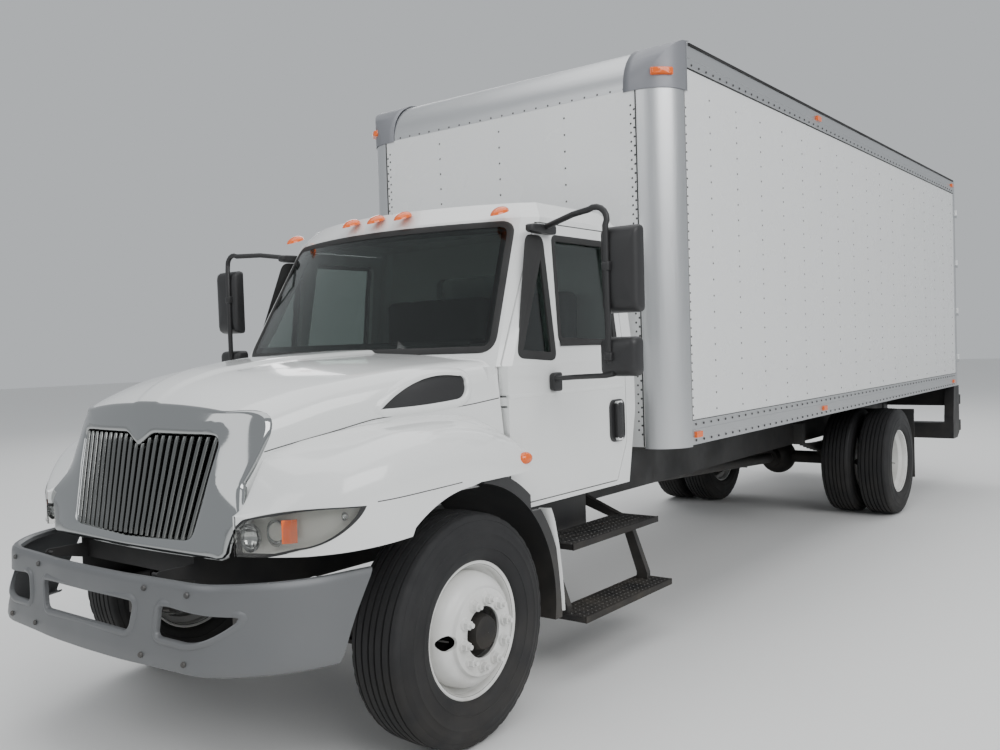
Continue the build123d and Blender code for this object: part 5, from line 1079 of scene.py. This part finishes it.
roof_lamps = [blister(x, y, z, 44, 58, 34, 0.32) for x, y, z in (
    (0, 640, 2449), (200, 644, 2448), (-200, 644, 2448), (790, 735, 2417), (-790, 735, 2417))]
piece("roof_lamps", merged(*roof_lamps), AMBER, "chassis", "lamp")
side_lamp = solid([[at(1136 + out, y, z) for y, z in ellipse(412, 1212, 40 * grow, 26 * grow, 28)]
                   for out, grow in ((0, 1.1), (12, 1.08), (16, 1), (24, 0.8), (29, 0.5), (31, 0.1))])
piece("fender_lamps", both_sides(side_lamp), AMBER, "hood", "lamp")

# Lip of the splash shields: its run behind the wheel as (y, z), and its section as (x, back)
LIP = ((603, 950), (618, 920), (633, 880), (662, 760), (682, 620), (694, 500), (697, 432))
LIP_SECTION = ((1092, -26), (1092, -18), (1128, -10), (1146, 2), (1152, -6), (1146, -14), (1120, -24), (1092, -30))
lip = tidied(lofted([[at(x, y + back, z) for y, z in LIP] for x, back in LIP_SECTION]))
piece("shield_lips", both_sides(lip), CAB_PAINT, "chassis", "cab_white")

# Steps: a grip pattern of raised studs on both treads, and an edge all along
# Columns: inner x, outer x, front y, rear y, top z
TREADS = ((905, 1117, 930, 1880, 330), (790, 1050, 930, 1850, 700))
EDGE_SECTION = ((-4, -31), (3, -31), (4, 0), (2, 3), (-2, 3), (-4, 0))
studs, edges = [], []
for inner, outer, front, rear, top in TREADS:
    studs += [(at(side * (inner + 28 + (outer - inner - 56) * m / 4),
                  front + 24 + (rear - front - 48) * (n + (m % 2) / 2) / 23.5, top - 0.5), UPWARD)
              for _, side in SIDES for m in range(5) for n in range(24)]
    edges += [solid([[at(x + a, y, top + b) for a, b in EDGE_SECTION] for y in range(front - 1, rear + 4, 20)], 40)
              for x in (outer, inner)]
piece("step_grips", fastened(studs, STEEL, Radius=0.0085, Height=0.004, Taper=0.55, Sides=10, Spread=0.08), STEEL,
      "chassis", "steel")
piece("step_edges", both_sides(*edges), CAST_IRON, "chassis", "cast_iron")

# Cargo box: rivets, rail lines, corner castings and lamps
PANEL_X = 1213
RAIL_X = 1219
rivets = []
for _, side in SIDES:
    rivets += [(at(side * PANEL_X, 2350 + 400 * n, 1310 + 100 * m), (side, 0, 0)) for n in range(17)
               for m in range(20)]
    rivets += [(at(side * PANEL_X, 2022, 1290 + 52 * m), (side, 0, 0)) for m in range(36)]
    rivets += [(at(side * x, BOX_START, 1190 + 53 * m + shift), FORWARD) for m in range(37)
               for x, shift in ((974, 26), (996, 0))]
rivets += [(at(x, BOX_START, 1190 + 102 * m), FORWARD) for x in (-508, 0, 508) for m in range(20)]
rivets += [(at(-960 + 90 * m, BOX_START, 3226), FORWARD) for m in range(22)]
piece("box_rivets", fastened(rivets, STEEL, Radius=0.0068, Height=0.0032, Taper=0.55, Sides=8), STEEL, "chassis",
      "steel")
bolts = [(at(side * RAIL_X, 2040 + 105 * m, z), (side, 0, 0)) for _, side in SIDES for m in range(65)
         for z in (1140, 1236)]
bolts += [(at(side * RAIL_X, 2100 + 100 * m, 3372), (side, 0, 0)) for _, side in SIDES for m in range(68)]
piece("rail_bolts", fastened(bolts, STEEL, Radius=0.0082, Height=0.005, Taper=0.8, Sides=6), STEEL, "chassis", "steel")


def run_along(*sections, front=1998, rear=8868):
    """Strips along both sides of the box from their sections in x and z."""
    return merged(*[both_sides(solid([[at(x, front + (rear - front) * n / 12, z) for x, z in section]
                                      for n in range(13)], 40)) for section in sections])


piece("rail_steps", run_along([(1217, 1160), (1223, 1163), (1223, 1206), (1217, 1210)],
                              [(1217, 3404), (1222, 3406), (1222, 3412), (1217, 3414)],
                              [(1217, 3352), (1223, 3354), (1223, 3360), (1217, 3362)]),
      RAIL_METAL, "chassis", "box_aluminium")
piece("roof_drip", run_along([(1212, 3480), (1226, 3482), (1227, 3496), (1212, 3502)], front=2070), CAST_IRON,
      "chassis", "cast_iron")
piece("rail_seams", run_along([(1210, 1257), (1216, 1257), (1216, 1263), (1210, 1263)],
                              [(1210, 3343), (1216, 3343), (1216, 3351), (1210, 3351)]), RUBBER, "chassis", "rubber")
seams = [solid([[at(x + a, y + b, z) for a, b in ((-3, -3), (3, -3), (3, 3), (-3, 3))]
                for z in (*range(1118, 3216, 300), 3216)], 40) for x, y in ((1008, 1788.5), (1214.5, 2001))]
piece("post_seams", both_sides(*seams), RUBBER, "chassis", "rubber")

# The casting goes round the corner post and up over the nose's quarter round
POST_X, POST_Y, POST_RADIUS = 1014, 1995, 211
NOSE_LOW, NOSE_RADIUS = 3235, 270
rows = []
for z in (3206, 3208, NOSE_LOW, 3270, 3310, 3350, 3390, 3425, 3455, 3478, 3494, 3506):
    front = 2060 - math.sqrt(max(NOSE_RADIUS ** 2 - max(z - NOSE_LOW, 0) ** 2, 0.0)) - 5
    meet = math.acos(max(0.0, min(1.0, (POST_Y - front) / POST_RADIUS)))
    row = [(930, front), (975, front)]
    row += [(POST_X + POST_RADIUS * math.sin(a), max(front, POST_Y - POST_RADIUS * math.cos(a)))
            for a in (meet + (math.pi / 2 - meet) * k / 12 for k in range(13))]
    rows.append([at(x, y, z) for x, y in row + [(POST_X + POST_RADIUS, max(2030, front + 12))]])
casting = thickened(tidied(lofted(rows)), 3)
piece("corner_castings", both_sides(casting), GREY_CASTING, "chassis", "cast_iron")

# The lamps bend round the castings. Columns: out from the post, share of the outline's size
CORNER_LAMP = ((-2, 1.12), (8, 1.1), (10, 1), (20, 0.94), (24, 0.8), (26, 0.1))
outline = divided(rounded([(-62, 20), (62, 20), (62, -20), (-62, -20)], 8, 4), 14)
corner_lamp = solid([[at(POST_X + (210 + out) * math.sin(0.75 + a * grow / 214),
                         POST_Y + 1 - (210 + out) * math.cos(0.75 + a * grow / 214), 3300 + b * grow)
                      for a, b in outline] for out, grow in CORNER_LAMP], 45)
piece("corner_lamps", both_sides(corner_lamp), AMBER, "chassis", "lamp")

heads = [(at(x, bumper_face(x, z) - 2, z), (math.copysign(0.15, x), -1, 0.1)) for a in (410, 660) for x in (a, -a)
         for z in (846, 592)]
piece("bumper_bolts", fastened(heads, STEEL, Radius=0.012, Height=0.007, Taper=0.7, Sides=12), STEEL, "chassis",
      "steel")

# Seats: crowned cushions with seams on a plain base
CUSHION = [(1000, 1470), (1420, 1478), (1420, 1350), (1000, 1342)]
BACKREST = [(1470, 2052), (1608, 2046), (1560, 1426), (1446, 1480)]
SEAT_BASE = ((-1, 1070), (1, 1070), (1, 1480), (-1, 1480))
for number, (x, wide) in enumerate(((440, 520), (-330, 860))):
    parts = []
    for outline in (CUSHION, BACKREST):
        rows = []
        for k in range(33):
            u = k / 32
            edge = min(u, 1 - u)
            tuck = 26 * max(0.0, 1 - edge / 0.08) ** 2 + 7 * math.exp(-((edge - 0.24) / 0.012) ** 2)
            rows.append([at(x - wide / 2 + 4 + (wide - 8) * u, y, z)
                         for y, z in ring_path(divided(rounded(outline, 34, 6), 40), -tuck - 3)])
        parts.append(solid(rows, 60))
    seat = piece(f"seat_cushions_{number}", merged(*parts), CLOTH, "chassis", "seat_cloth", "seats")
    base = solid([[at(x + across * (wide / 2 - 30), y, z) for across, y in SEAT_BASE]
                  for z in (1042, 1046, 1300, 1352)], 30)
    piece(f"seat_base_{number}", baked(base, "BEVEL", width=0.012, segments=3), TRIM, "chassis", "trim_grey", "seats")


# Stage, camera and lights, in metres

def area_light(name, place, target, size, power):
    """A soft rectangular light that looks at a point."""
    data = bpy.data.lights.new(name, "AREA")
    data.shape = "RECTANGLE"
    data.size, data.size_y = size
    data.energy = power
    obj = shown(name, data)
    obj.location = place
    obj.rotation_euler = (Vector(target) - Vector(place)).to_track_quat("-Z", "Y").to_euler()


FLOOR_REACH = 60.0
floor = bpy.data.meshes.new("floor")
floor.from_pydata([(x * FLOOR_REACH, y * FLOOR_REACH, -0.001) for x, y in ((-1, -1), (1, -1), (1, 1), (-1, 1))], [],
                  [(0, 1, 2, 3)])
floor.materials.append(finish("studio floor", (0.80, 0.80, 0.79), Roughness=0.75)[0])
shown("floor", floor)

# The photograph's camera: turned left, down and tilted, in radians, with its focal length in pixels of 1000
YAW, PITCH, ROLL = 0.6554, -0.02945, -0.0317
FOCAL = 948.4
ahead = Vector((-math.sin(YAW) * math.cos(PITCH), math.cos(YAW) * math.cos(PITCH), math.sin(PITCH)))
right = ahead.cross(Vector((0, 0, 1))).normalized()
up = right.cross(ahead)
right, up = math.cos(ROLL) * right + math.sin(ROLL) * up, -math.sin(ROLL) * right + math.cos(ROLL) * up
camera_data = bpy.data.cameras.new("camera")
camera_data.sensor_width = 36.0
camera_data.lens = FOCAL * 36.0 / 1000.0
camera_data.clip_end = 300.0
camera = shown("camera", camera_data)
matrix = Matrix((right, up, -ahead)).transposed().to_4x4()
matrix.translation = at(3743, -3146, 1733)
camera.matrix_world = matrix
bpy.context.scene.camera = camera

area_light("sky left", (12.0, -6.0, 9.0), (0.0, 0.0, 1.5), (12.0, 7.0), 1150)
area_light("sky front", (-3.0, -15.0, 8.0), (0.0, -3.0, 1.2), (10.0, 6.0), 260)
area_light("sky above", (0.0, 0.0, 14.0), (0.0, 0.0, 0.0), (14.0, 18.0), 1150)
area_light("sky behind", (-10.0, 10.0, 8.0), (0.0, 2.0, 1.5), (10.0, 6.0), 600)
world = bpy.data.worlds.new("soft studio")
bpy.context.scene.world = world
world.use_nodes = True
world.node_tree.nodes["Background"].inputs["Color"].default_value = (0.80, 0.83, 0.86, 1)
world.node_tree.nodes["Background"].inputs["Strength"].default_value = 0.66
